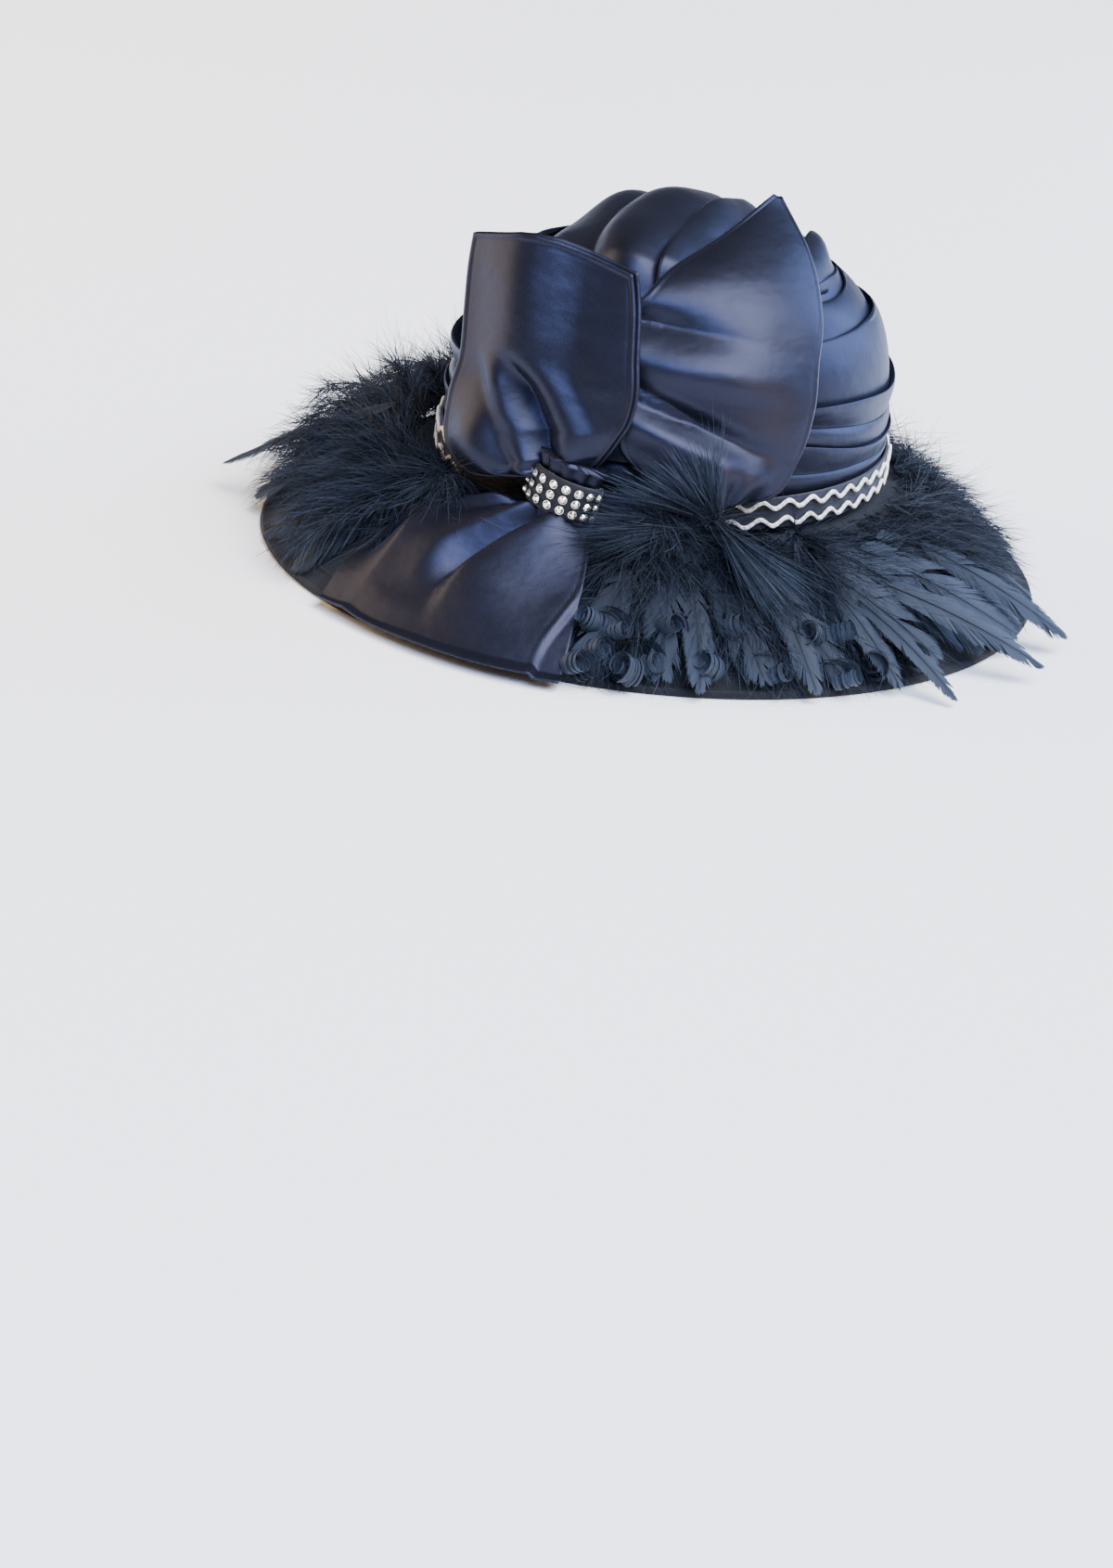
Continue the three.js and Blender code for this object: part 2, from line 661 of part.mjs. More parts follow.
const keepClear = [brimSolid(GAP), bandSolid(BRAID_THICKNESS + 2 * GAP), tailSolid(2 * GAP)];
keepClear.push(leftLeafSolid(2 * GAP), rightLeafSolid(2 * GAP));
const clearance = wasm.Manifold.union(keepClear.map(toManifold));

PLUMES.forEach((plume, index) => {
  const pieces = [backingSolid(plume)];
  for (let i = 0; i < plume.locks; i += 1) {
    const seed = 100 * index + i;
    const tier = TIERS[i % TIERS.length];
    const share = (i + 0.5) / plume.locks;
    const bearing = lerp(plume.from, plume.to, clamp(share, 0.04, 0.96));
    const swing = lerp(-9, 9, vary(seed, 1)) * (1 - Math.abs(2 * share - 1) * 0.5);
    const ends = lerp(0.55, 1, Math.sin(Math.PI * share) ** 0.6);
    const out = lerp(0.92, 1, vary(seed, 2)) * tier.out * plume.reach;
    const lift = Math.max(plume[tier.name] * ends * lerp(0.85, 1.1, vary(seed, 3)), 3.5);
    const root = onBrim(bearing, LOCK_ROOT.out, LOCK_ROOT.lift);
    const knee = onBrim(bearing + swing / 2, lerp(LOCK_ROOT.out, out, 0.45), 0.9 * lift + 6);
    const tip = onBrim(bearing + swing, out, lift);
    pieces.push(lockSolid(root, knee, tip, bearing, plume.width * lerp(0.8, 1.1, vary(seed, 4))));
  }
  for (const quill of QUILLS) {
    if (quill.plume === plume.name) pieces.push(quillSolid(quill));
  }
  for (const curl of CURLS) {
    if (curl.plume === plume.name) pieces.push(curlSolid(curl));
  }
  const whole = wasm.Manifold.union(pieces.map(toManifold)).subtract(clearance);
  add(`plume_${plume.name}`, toGeometry(largestBody(whole)), feather);
});

// The origin is the middle of the hat's foot.
const box = new THREE.Box3().setFromObject(group);
const middle = box.getCenter(new THREE.Vector3());
for (const mesh of group.children) {
  mesh.geometry.translate(-middle.x, -middle.y, -box.min.z);
}

export default group;
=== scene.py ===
"""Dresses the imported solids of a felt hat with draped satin, a satin bow, braid, stones and feathers."""

import math

import bmesh
import bpy
import numpy as np
from bpy.props import FloatProperty, FloatVectorProperty, IntProperty, PointerProperty
from bpy.types import Operator, Panel, PropertyGroup
from mathutils import Matrix, Vector


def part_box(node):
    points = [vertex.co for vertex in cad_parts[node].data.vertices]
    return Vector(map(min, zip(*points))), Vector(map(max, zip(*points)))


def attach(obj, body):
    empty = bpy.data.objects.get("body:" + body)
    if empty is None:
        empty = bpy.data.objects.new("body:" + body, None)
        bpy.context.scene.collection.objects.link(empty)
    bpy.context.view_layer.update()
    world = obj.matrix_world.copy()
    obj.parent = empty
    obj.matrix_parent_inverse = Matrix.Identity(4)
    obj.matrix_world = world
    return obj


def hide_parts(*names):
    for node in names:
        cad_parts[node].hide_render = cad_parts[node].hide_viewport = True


bl_info = {
    "name": "Felt hat with satin bow",
    "version": (1, 0, 0),
    "blender": (4, 5, 0),
    "location": "View3D > Sidebar > Hat",
    "description": "Builds the cloth, trim and feathers of a felt hat over its solids",
    "category": "Object",
}

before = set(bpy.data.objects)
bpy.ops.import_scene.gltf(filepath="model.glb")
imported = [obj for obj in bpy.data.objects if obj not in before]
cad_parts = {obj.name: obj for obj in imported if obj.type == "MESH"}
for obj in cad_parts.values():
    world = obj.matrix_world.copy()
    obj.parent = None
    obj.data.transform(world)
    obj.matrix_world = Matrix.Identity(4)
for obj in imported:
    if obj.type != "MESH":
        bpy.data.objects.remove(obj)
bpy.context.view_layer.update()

MM = 0.001
BODY = "root"

# Bearings turn about the crown from its back right quarter, where the bow is seen square on.
BOW_SIDE = -60.0

# A point inside the crown moves out by this share of its distance, up to so many times.
CLEARING_STEP = 0.003
CLEARING_STEPS = 120


def length_property(name, description, default):
    return FloatProperty(name=name, description=description, default=default, unit="LENGTH")


def colour_property(name, description, default):
    return FloatVectorProperty(name=name, description=description, default=default, subtype="COLOR", size=3)


def table(columns, *rows):
    """The rows of a table, each as a dictionary under the columns' names."""
    return [dict(zip(columns.split(), row)) for row in rows]


class HatSizes(PropertyGroup):
    head_half_width: length_property("Head half width", "Half of the opening, side to side", 0.080)
    head_half_length: length_property("Head half length", "Half of the opening, front to back", 0.0965)
    rim_half_width: length_property("Rim half width", "Half of the brim, side to side", 0.155)
    rim_half_length: length_property("Rim half length", "Half of the brim, front to back", 0.166)
    felt: length_property("Felt", "Thickness of the felt", 0.0025)
    satin: length_property("Satin", "Thickness of the lined satin", 0.0009)
    brim_root: length_property("Brim root", "Height of the brim where it meets the crown", 0.036)
    crown_top: length_property("Crown top", "Height of the felt crown", 0.133)
    braid_waves: IntProperty(name="Braid waves", description="Waves of the braid round the crown", default=44)


class HatColours(PropertyGroup):
    felt: colour_property("Felt", "Charcoal felt", (0.0068, 0.0075, 0.0105))
    satin: colour_property("Satin", "Midnight satin", (0.0200, 0.0216, 0.0372))
    ribbon: colour_property("Ribbon", "Navy band", (0.007, 0.009, 0.020))
    braid: colour_property("Braid", "Wavy braid", (0.86, 0.85, 0.82))
    down: colour_property("Down", "Roots of the feathers", (0.0056, 0.0060, 0.0080))
    barb_tip: colour_property("Barb tips", "Tips of the feathers", (0.035, 0.048, 0.075))
    crystal: colour_property("Crystal", "Cut stones", (0.93, 0.90, 0.82))
    floor: colour_property("Floor", "Pale studio floor", (0.93, 0.93, 0.92))


class HatFeathers(PropertyGroup):
    seed: IntProperty(name="Seed", description="Start of the feathers' variation", default=7)
    fullness: FloatProperty(
        name="Fullness", description="Share of the full number of barbs", default=1.0, min=0.05, max=1.0
    )


# Small sums used by every piece


def outward(bearing):
    """The unit direction away from the crown's axis at a bearing."""
    angle = np.radians(np.asarray(bearing, float) + BOW_SIDE)
    return np.stack([np.cos(angle), np.sin(angle), np.zeros_like(angle)], axis=-1)


def sideways(bearing):
    return outward(np.asarray(bearing, float) + 90)


def mix(a, b, share):
    return a + (b - a) * share


def ease(value, low, high):
    """A smooth step from 0 at low to 1 at high."""
    share = np.clip((value - low) / (high - low), 0, 1)
    return share * share * (3 - 2 * share)


def bump(distance, spread):
    return (1 + np.cos(np.pi * np.clip(np.abs(distance) / spread, 0, 1))) / 2


def crease(distance, spread):
    """A bump with a sharper crest, as a pressed fold has."""
    return np.exp(-np.abs(distance / spread) ** 1.25)


def ripples(seed, u, v, low, high, whole=False, count=7):
    """Smooth unevenness of about -1 to 1 over a piece, the same on every run."""
    random = np.random.default_rng(seed)
    total = np.zeros(np.broadcast(u, v).shape)
    for _ in range(count):
        waves = random.uniform(low, high, 2) * random.choice([-1, 1], 2)
        if whole:
            waves[0] = np.round(waves[0])
        total += np.sin(2 * np.pi * (waves[0] * u + waves[1] * v + random.random()))
    return total / (1.5 * math.sqrt(count))


def through(rows, key, columns, place):
    """The columns of a table at places along its key column, on a smooth curve."""
    keys = np.array([row[key] for row in rows], float)
    found = []
    for column in columns:
        values = np.array([row[column] for row in rows], float)
        slopes = np.gradient(values, keys)
        i = np.clip(np.searchsorted(keys, place) - 1, 0, len(keys) - 2)
        span = keys[i + 1] - keys[i]
        t = np.clip((place - keys[i]) / span, 0, 1)
        found.append(
            (2 * t**3 - 3 * t**2 + 1) * values[i]
            + (t**3 - 2 * t**2 + t) * span * slopes[i]
            + (3 * t**2 - 2 * t**3) * values[i + 1]
            + (t**3 - t**2) * span * slopes[i + 1]
        )
    return found


class Form:
    """The hat's own measures, in millimetres about the axis of its crown."""

    side_power = 0.909
    brim_gap = 0.35
    brim_curve = 1.5
    flat_from = 0.955
    drape_gap = 5.5

    def __init__(self, sizes):
        low, high = (np.array(corner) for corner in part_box("crown"))
        self.axis = np.array([*((low + high) / 2)[:2], 0.0])
        self.head = np.array([sizes.head_half_width, sizes.head_half_length]) / MM
        self.rim = np.array([sizes.rim_half_width, sizes.rim_half_length]) / MM
        self.felt = sizes.felt / MM
        self.root = sizes.brim_root / MM
        self.top = sizes.crown_top / MM

    def to_row(self, points):
        """Places in metres in the part's own frame."""
        return points * MM + self.axis

    def oval(self, bearing, offset):
        """The crown's radius at a bearing, at an offset from the felt's outside."""
        half = self.head + self.felt
        direction = outward(bearing)
        return 1 / np.hypot(direction[..., 0] / (half[0] + offset), direction[..., 1] / (half[1] + offset))

    def rim_radius(self, bearing):
        direction = outward(bearing)
        return 1 / np.hypot(direction[..., 0] / self.rim[0], direction[..., 1] / self.rim[1])

    def at(self, bearing, radius, height):
        point = outward(bearing) * np.asarray(radius, float)[..., None]
        point[..., 2] = height
        return point

    def brim_top(self, out):
        return self.root * (1 - np.clip(out / self.flat_from, 0, 1) ** self.brim_curve) + self.felt

    def brim_radius(self, bearing, out):
        inner = self.oval(bearing, self.brim_gap)
        return inner + (self.rim_radius(bearing) - inner) * out

    def on_brim(self, bearing, out, lift):
        return self.at(bearing, self.brim_radius(bearing, out), self.brim_top(out) + lift)

    def dome(self, bearing, angle, offset):
        """A point of the crown's dome, from its side at angle 0 to its top at a right angle."""
        top = self.top + offset
        share = np.cos(angle) ** self.side_power
        height = self.root + (top - self.root) * np.sin(angle) ** 0.5
        return self.at(bearing, self.oval(bearing, offset) * share, height)

    def dome_angle(self, height):
        return np.arcsin(np.clip((height - self.root) / (self.top + 1 - self.root), 0, 1) ** 2)

    def clear_of_crown(self, points, offset):
        """The points, moved out where they come nearer to the crown than offset."""
        centre = np.array([0, 0, self.root])
        ray = points - centre
        bearing = np.degrees(np.arctan2(points[:, 1], points[:, 0])) - BOW_SIDE
        scale = np.ones(len(points))
        for _ in range(CLEARING_STEPS):
            inside = (
                np.clip(ray[:, 2] * scale / (self.top + offset - self.root), 0, None) ** 4
                + (np.hypot(ray[:, 0], ray[:, 1]) * scale / self.oval(bearing, offset)) ** 2.2
            ) < 1
            scale[inside] += CLEARING_STEP
        return centre + ray * scale[:, None]

    def above_brim(self, points, clear, most=None):
        """The points, kept out of the brim, the floor and the crown, and at most that share past the rim."""
        flat = points.reshape(-1, 3).copy()
        bearing = np.degrees(np.arctan2(flat[:, 1], flat[:, 0])) - BOW_SIDE
        radius = np.hypot(flat[:, 0], flat[:, 1])
        least = self.oval(bearing, self.drape_gap)
        low = flat[:, 2] < 100
        push = np.where(low & (radius < least), least / np.maximum(radius, 1), 1.0)
        flat[:, :2] *= push[:, None]
        inner = self.oval(bearing, self.brim_gap)
        out = (radius * push - inner) / (self.rim_radius(bearing) - inner)
        if most:
            kept = np.where(out > 1, 1 + most * (1 - np.exp(-np.clip(out - 1, 0, None) / most)), out)
            flat[:, :2] *= (self.brim_radius(bearing, kept) / self.brim_radius(bearing, out))[:, None]
            out = kept
        floor = np.where(out < 1.015, self.brim_top(np.clip(out, 0, 1)), 0.3) + clear
        flat[:, 2] = np.maximum(flat[:, 2], floor)
        return flat.reshape(points.shape)


# Shader maths and materials


class Value:
    """One shader value. Sums on it add Math nodes to its material."""

    def __init__(self, finish, socket):
        self.finish = finish
        self.socket = socket

    def sum(self, operation, first, second):
        made = self.finish.node("ShaderNodeMath", {"operation": operation}, {0: first, 1: second})
        return Value(self.finish, made.outputs[0])

    def __add__(self, other):
        return self.sum("ADD", self, other)

    __radd__ = __add__

    def __rsub__(self, other):
        return self.sum("SUBTRACT", other, self)

    def __mul__(self, other):
        return self.sum("MULTIPLY", self, other)

    __rmul__ = __mul__

    def __pow__(self, other):
        return self.sum("POWER", self, other)


class Finish:
    """A material on one Principled shader, with short calls for its nodes."""

    def __init__(self, name, **constants):
        self.material = bpy.data.materials.new(name)
        self.material.use_nodes = True
        self.tree = self.material.node_tree
        self.tree.nodes.clear()
        self.shader = self.node("ShaderNodeBsdfPrincipled")
        output = self.node("ShaderNodeOutputMaterial")
        self.tree.links.new(self.shader.outputs[0], output.inputs[0])
        self.coordinates = self.node("ShaderNodeTexCoord")
        for socket, value in constants.items():
            self.shader.inputs[socket.replace("_", " ")].default_value = value

    def node(self, kind, settings=None, values=None):
        made = self.tree.nodes.new(kind)
        for name, value in (settings or {}).items():
            setattr(made, name, value)
        for socket, value in (values or {}).items():
            if isinstance(value, Value):
                self.tree.links.new(value.socket, made.inputs[socket])
            else:
                made.inputs[socket].default_value = value
        return made

    def place(self, scale):
        """Object coordinates, stretched by scale."""
        start = Value(self, self.coordinates.outputs["Object"])
        return Value(self, self.node("ShaderNodeMapping", None, {"Vector": start, "Scale": scale}).outputs[0])

    def noise(self, scale, detail=3.0, stretch=(1, 1, 1)):
        made = self.node(
            "ShaderNodeTexNoise",
            {"normalize": True},
            {"Vector": self.place(stretch), "Scale": scale, "Detail": detail},
        )
        return Value(self, made.outputs[0])

    def threads(self, scale, direction, distortion):
        made = self.node(
            "ShaderNodeTexWave",
            {"wave_type": "BANDS", "bands_direction": direction, "wave_profile": "SIN"},
            {"Vector": self.place((1, 1, 1)), "Scale": scale, "Distortion": distortion},
        )
        return Value(self, made.outputs["Fac"])

    def attribute(self, name):
        return Value(self, self.node("ShaderNodeAttribute", {"attribute_name": name}).outputs["Fac"])

    def blend(self, share, first, second):
        settings = {"data_type": "RGBA", "clamp_factor": True}
        made = self.node("ShaderNodeMix", settings, {0: share, 6: first, 7: second})
        return Value(self, made.outputs[2])

    def bump(self, height, strength, distance):
        values = {"Height": height, "Strength": strength, "Distance": distance}
        made = self.node("ShaderNodeBump", None, values)
        self.set("Normal", Value(self, made.outputs[0]))

    def set(self, socket, value):
        self.tree.links.new(value.socket, self.shader.inputs[socket])


def tint(colour, factor):
    return (*(min(1.0, channel * factor) for channel in colour), 1.0)


def satin_finish(colour):
    finish = Finish(
        "midnight_satin",
        Metallic=0.88,
        Specular_IOR_Level=0.4,
        Specular_Tint=(0.80, 0.85, 1.0, 1.0),
        Sheen_Weight=0.03,
        Sheen_Roughness=0.4,
        Sheen_Tint=(0.5, 0.6, 1.0, 1.0),
    )
    weave = finish.noise(2600, 2.0)
    slub = finish.noise(60, 4.0, (1, 1, 3))
    finish.set("Base Color", finish.blend(0.5 * slub + 0.5 * weave, tint(colour, 0.75), tint(colour, 1.3)))
    finish.set("Roughness", 0.36 + 0.08 * weave + 0.05 * slub)
    wrinkles = finish.noise(38, 3.0, (1, 1, 1.6))
    finish.bump(wrinkles + 0.05 * weave, 0.45, 0.0022)
    return finish.material


def felt_finish(colour):
    finish = Finish("charcoal_felt", Sheen_Weight=0.06, Sheen_Roughness=0.55, Specular_IOR_Level=0.12)
    fibre = finish.noise(900, 5.0)
    matted = finish.noise(140, 4.0, (1, 1, 2))
    finish.set("Base Color", finish.blend(0.6 * fibre + 0.5 * matted, tint(colour, 0.55), tint(colour, 1.7)))
    finish.set("Roughness", 0.86 + 0.12 * fibre)
    finish.bump(0.7 * fibre + 0.3 * matted, 0.45, 0.0006)
    return finish.material


def ribbon_finish(colour, name="navy_ribbon"):
    finish = Finish(name, Sheen_Weight=0.15, Sheen_Roughness=0.4, Specular_IOR_Level=0.35)
    grain = finish.noise(1500, 3.0)
    cord = finish.noise(260, 3.0, (1, 1, 4))
    finish.set("Base Color", finish.blend(cord, tint(colour, 0.6), tint(colour, 1.8)))
    finish.set("Roughness", 0.55 + 0.25 * grain)
    finish.bump(grain, 0.25, 0.0003)
    return finish.material


def braid_finish(colour):
    finish = Finish("white_braid", Sheen_Weight=0.2, Sheen_Roughness=0.4, Specular_IOR_Level=0.4)
    ply = finish.threads(170, "DIAGONAL", 1.5)
    soil = finish.noise(120, 4.0)
    finish.set("Base Color", finish.blend(0.55 * ply + 0.45 * soil, tint(colour, 0.72), tint(colour, 1.12)))
    finish.set("Roughness", 0.5 + 0.25 * soil)
    finish.bump(ply, 0.5, 0.0003)
    return finish.material


def feather_finish(down, tip):
    finish = Finish(
        "dark_feather",
        Sheen_Weight=0.06,
        Sheen_Roughness=0.4,
        Sheen_Tint=(0.5, 0.6, 0.8, 1.0),
        Specular_IOR_Level=0.22,
        Specular_Tint=(0.65, 0.76, 1.0, 1.0),
    )
    along = finish.attribute("tip")
    shade = finish.attribute("shade")
    streak = finish.noise(700, 3.0)
    lightness = (along**1.6) * (0.25 + 0.9 * shade) + 0.12 * streak * shade
    finish.set("Base Color", finish.blend(lightness, tint(down, 1.0), tint(tip, 1.0)))
    finish.set("Roughness", 0.62 - 0.18 * shade + 0.1 * streak)
    return finish.material


def crystal_finish(colour):
    finish = Finish(
        "clear_crystal", Metallic=0.88, Specular_IOR_Level=0.8, Coat_Weight=0.6, Coat_Roughness=0.03
    )
    cloud = finish.noise(900, 2.0)
    finish.set("Base Color", finish.blend(cloud, tint(colour, 0.78), tint(colour, 1.05)))
    finish.set("Roughness", 0.05 + 0.08 * cloud)
    return finish.material


def floor_finish(colour):
    finish = Finish("pale_floor", Specular_IOR_Level=0.1)
    mottle = finish.noise(1.6, 3.0)
    finish.set("Base Color", finish.blend(mottle, tint(colour, 0.985), tint(colour, 1.01)))
    finish.set("Roughness", 0.85 + 0.1 * mottle)
    return finish.material


FINISHES = {}


def finish_for(context, name):
    """Each material is made once and shared by the pieces of that cloth."""
    colours = context.scene.hat_colours
    makers = {
        "felt": lambda: felt_finish(colours.felt),
        "satin": lambda: satin_finish(colours.satin),
        "ribbon": lambda: ribbon_finish(colours.ribbon),
        "black": lambda: ribbon_finish(tint(colours.ribbon, 0.35)[:3], "black_strip"),
        "braid": lambda: braid_finish(colours.braid),
        "feather": lambda: feather_finish(colours.down, colours.barb_tip),
        "stone": lambda: crystal_finish(colours.crystal),
        "floor": lambda: floor_finish(colours.floor),
    }
    if name not in FINISHES:
        FINISHES[name] = makers[name]()
    return FINISHES[name]


# Making pieces


def sheet_grid(columns, rows, place, joined=False):
    """A grid of faces, each vertex moved to place(u, v)."""
    made = bmesh.new()
    made.loops.layers.uv.new("UVMap")
    bmesh.ops.create_grid(made, x_segments=columns, y_segments=rows, size=0.5, calc_uvs=True)
    uv = np.array([vertex.co[:2] for vertex in made.verts]) + 0.5
    for vertex, point in zip(made.verts, place(uv[:, 0], uv[:, 1])):
        vertex.co = point
    if joined:
        bmesh.ops.remove_doubles(made, verts=made.verts[:], dist=2e-6)
        bmesh.ops.recalc_face_normals(made, faces=made.faces[:])
    return made


def add_piece(context, name, source, cloth, nodes=(), smooth=True):
    """Puts a bmesh or a mesh into the scene as a piece of the hat."""
    if isinstance(source, bmesh.types.BMesh):
        mesh = bpy.data.meshes.new(name)
        source.to_mesh(mesh)
        source.free()
    else:
        mesh = source
    if not mesh.polygons:
        raise RuntimeError(f"{name} has no faces")
    mesh.materials.append(finish_for(context, cloth))
    if smooth:
        mesh.shade_smooth()
    piece = bpy.data.objects.new(name, mesh)
    context.scene.collection.objects.link(piece)
    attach(piece, BODY)
    if nodes:
        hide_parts(*nodes)
    return piece


def thicken(piece, thickness, offset=0.0):
    wall = piece.modifiers.new("thickness", "SOLIDIFY")
    wall.thickness = thickness
    wall.offset = offset
    wall.use_even_offset = False


def strand_mesh(name, paths, sides, widths, tips, shades):
    """Flat strands along paths, an array of strands by points by 3, in metres."""
    strands, points = paths.shape[:2]
    half = sides * widths[..., None] / 2
    places = np.stack([paths - half, paths + half], axis=2).reshape(-1, 3)
    first = ((np.arange(strands) * points)[:, None] + np.arange(points - 1)).reshape(-1) * 2
    faces = np.stack([first, first + 1, first + 3, first + 2], axis=1)
    mesh = bpy.data.meshes.new(name)
    mesh.from_pydata(places, [], faces)
    for label, values in (("tip", tips), ("shade", shades)):
        spread = np.broadcast_to(values[..., None], (strands, points, 2)).reshape(-1)
        mesh.attributes.new(label, "FLOAT", "POINT").data.foreach_set("value", spread.astype(np.float32))
    mesh.update()
    return mesh


# Felt


class HAT_OT_felt(Operator):
    """Shape the felt brim and the felt crown inside the drape"""

    bl_idname = "hat.felt"
    bl_label = "Felt"

    def execute(self, context):
        form = Form(context.scene.hat_sizes)
        half = form.felt / 2

        def brim(u, v):
            turn = 2 * np.pi * v
            out = np.clip(0.5 - 0.53 * np.cos(turn), 0, 1)
            face = np.clip(np.sin(turn) * 9, -1, 1)
            bearing = 360 * u
            uneven = 0.35 * ripples(3, u, out, 1, 5, whole=True)
            middle = form.brim_top(out) - half + uneven * (1 - ease(out, 0.8, 0.95))
            height = middle + half * face
            roll = 0.9 * (1 - np.abs(face)) * np.where(out > 0.5, 1, -1)
            radius = form.brim_radius(bearing, out) + roll - 0.9
            return form.to_row(form.at(bearing, radius, np.maximum(height, 0)))

        add_piece(context, "felt_brim", sheet_grid(240, 72, brim, joined=True), "felt", ["brim"])

        def crown(u, v):
            face = np.where(v <= 0.5, 0.0, -form.felt)
            share = 1 - np.abs(2 * v - 1)
            angle = np.pi / 2 * np.clip(share * 1.04, 0, 1) ** 1.2
            return form.to_row(form.dome(360 * u, angle, face))

        add_piece(context, "felt_crown", sheet_grid(120, 61, crown, joined=True), "felt", ["crown"])
        self.stitch(context, form)
        return {"FINISHED"}

    def stitch(self, context, form):
        """A sewn row near the rim."""
        count = 300
        along = np.linspace(0, 1, 6)
        bearing = (np.arange(count)[:, None] + 0.12 + 0.72 * along) * 360 / count
        lift = 0.05 + 0.32 * np.sin(np.pi * along)
        paths = form.on_brim(bearing, np.full_like(bearing, 0.875), lift * np.ones_like(bearing))
        sides = outward(bearing)
        widths = np.full(bearing.shape, 0.5) * MM
        mesh = strand_mesh("brim_stitches", form.to_row(paths), sides, widths, 0 * bearing, 0 * bearing + 0.3)
        add_piece(context, "brim_stitches", mesh, "ribbon")


# Satin drape

SIDE_FOLDS = table(
    "bow right front left rise lapped",
    (67, 58, 59, 59, 1.8, False),
    (78, 65, 68, 67, 3.2, True),
    (84, 75, 77, 76, 1.8, False),
    (89.5, 84, 85, 84, 4.8, True),
    (109, 110, 107, 109, 3.4, True),
    (122, 120, 119, 120, 3.0, True),
)

# Folds over the top run askew from the bow to the front; across is a share of the top's half width.
TOP_FOLDS = table(
    "across rise lapped",
    (0.84, 2.5, True),
    (0.56, 4.0, True),
    (0.27, 5.0, True),
    (0.05, 6.0, True),
    (-0.42, 5.5, False),
    (-0.90, 3.5, False),
)
TOP_SKEW = 0.26
TOP_RIDGES = table(
    "across rise spread",
    (46, 4.0, 18),
    (14, 4.0, 30),
    (-2, 4.0, 22),
    (-22, 8.0, 26),
)

# A lapped fold in section: along runs from the lip before to its own lip, out is a share of its rise.
LAP_SECTION = table(
    "step along out",
    (0, -0.10, 0.05),
    (1, 0.02, 0.12),
    (2, 0.22, 0.36),
    (3, 0.48, 0.66),
    (4, 0.72, 0.90),
    (5, 0.88, 1.00),
    (6, 0.97, 1.03),
    (7, 1.01, 0.95),
    (8, 1.00, 0.82),
    (9, 0.95, 0.62),
    (10, 0.89, 0.40),
)
SECTION_STEPS = 16


def fold_rows(folds):
    """For each row of a pleated sheet: its fold, and its place along and out within that fold."""
    share = np.linspace(0, 1, SECTION_STEPS)
    lap = through(LAP_SECTION, "step", ("along", "out"), share * LAP_SECTION[-1]["step"])
    lobe = [mix(-0.04, 0.98, share), np.sin(np.pi * share) ** 0.8]
    sections = [lap if fold["lapped"] else lobe for fold in folds]
    along, out = (np.concatenate([section[part] for section in sections]) for part in (0, 1))
    return np.repeat(np.arange(len(folds)), SECTION_STEPS), along, out


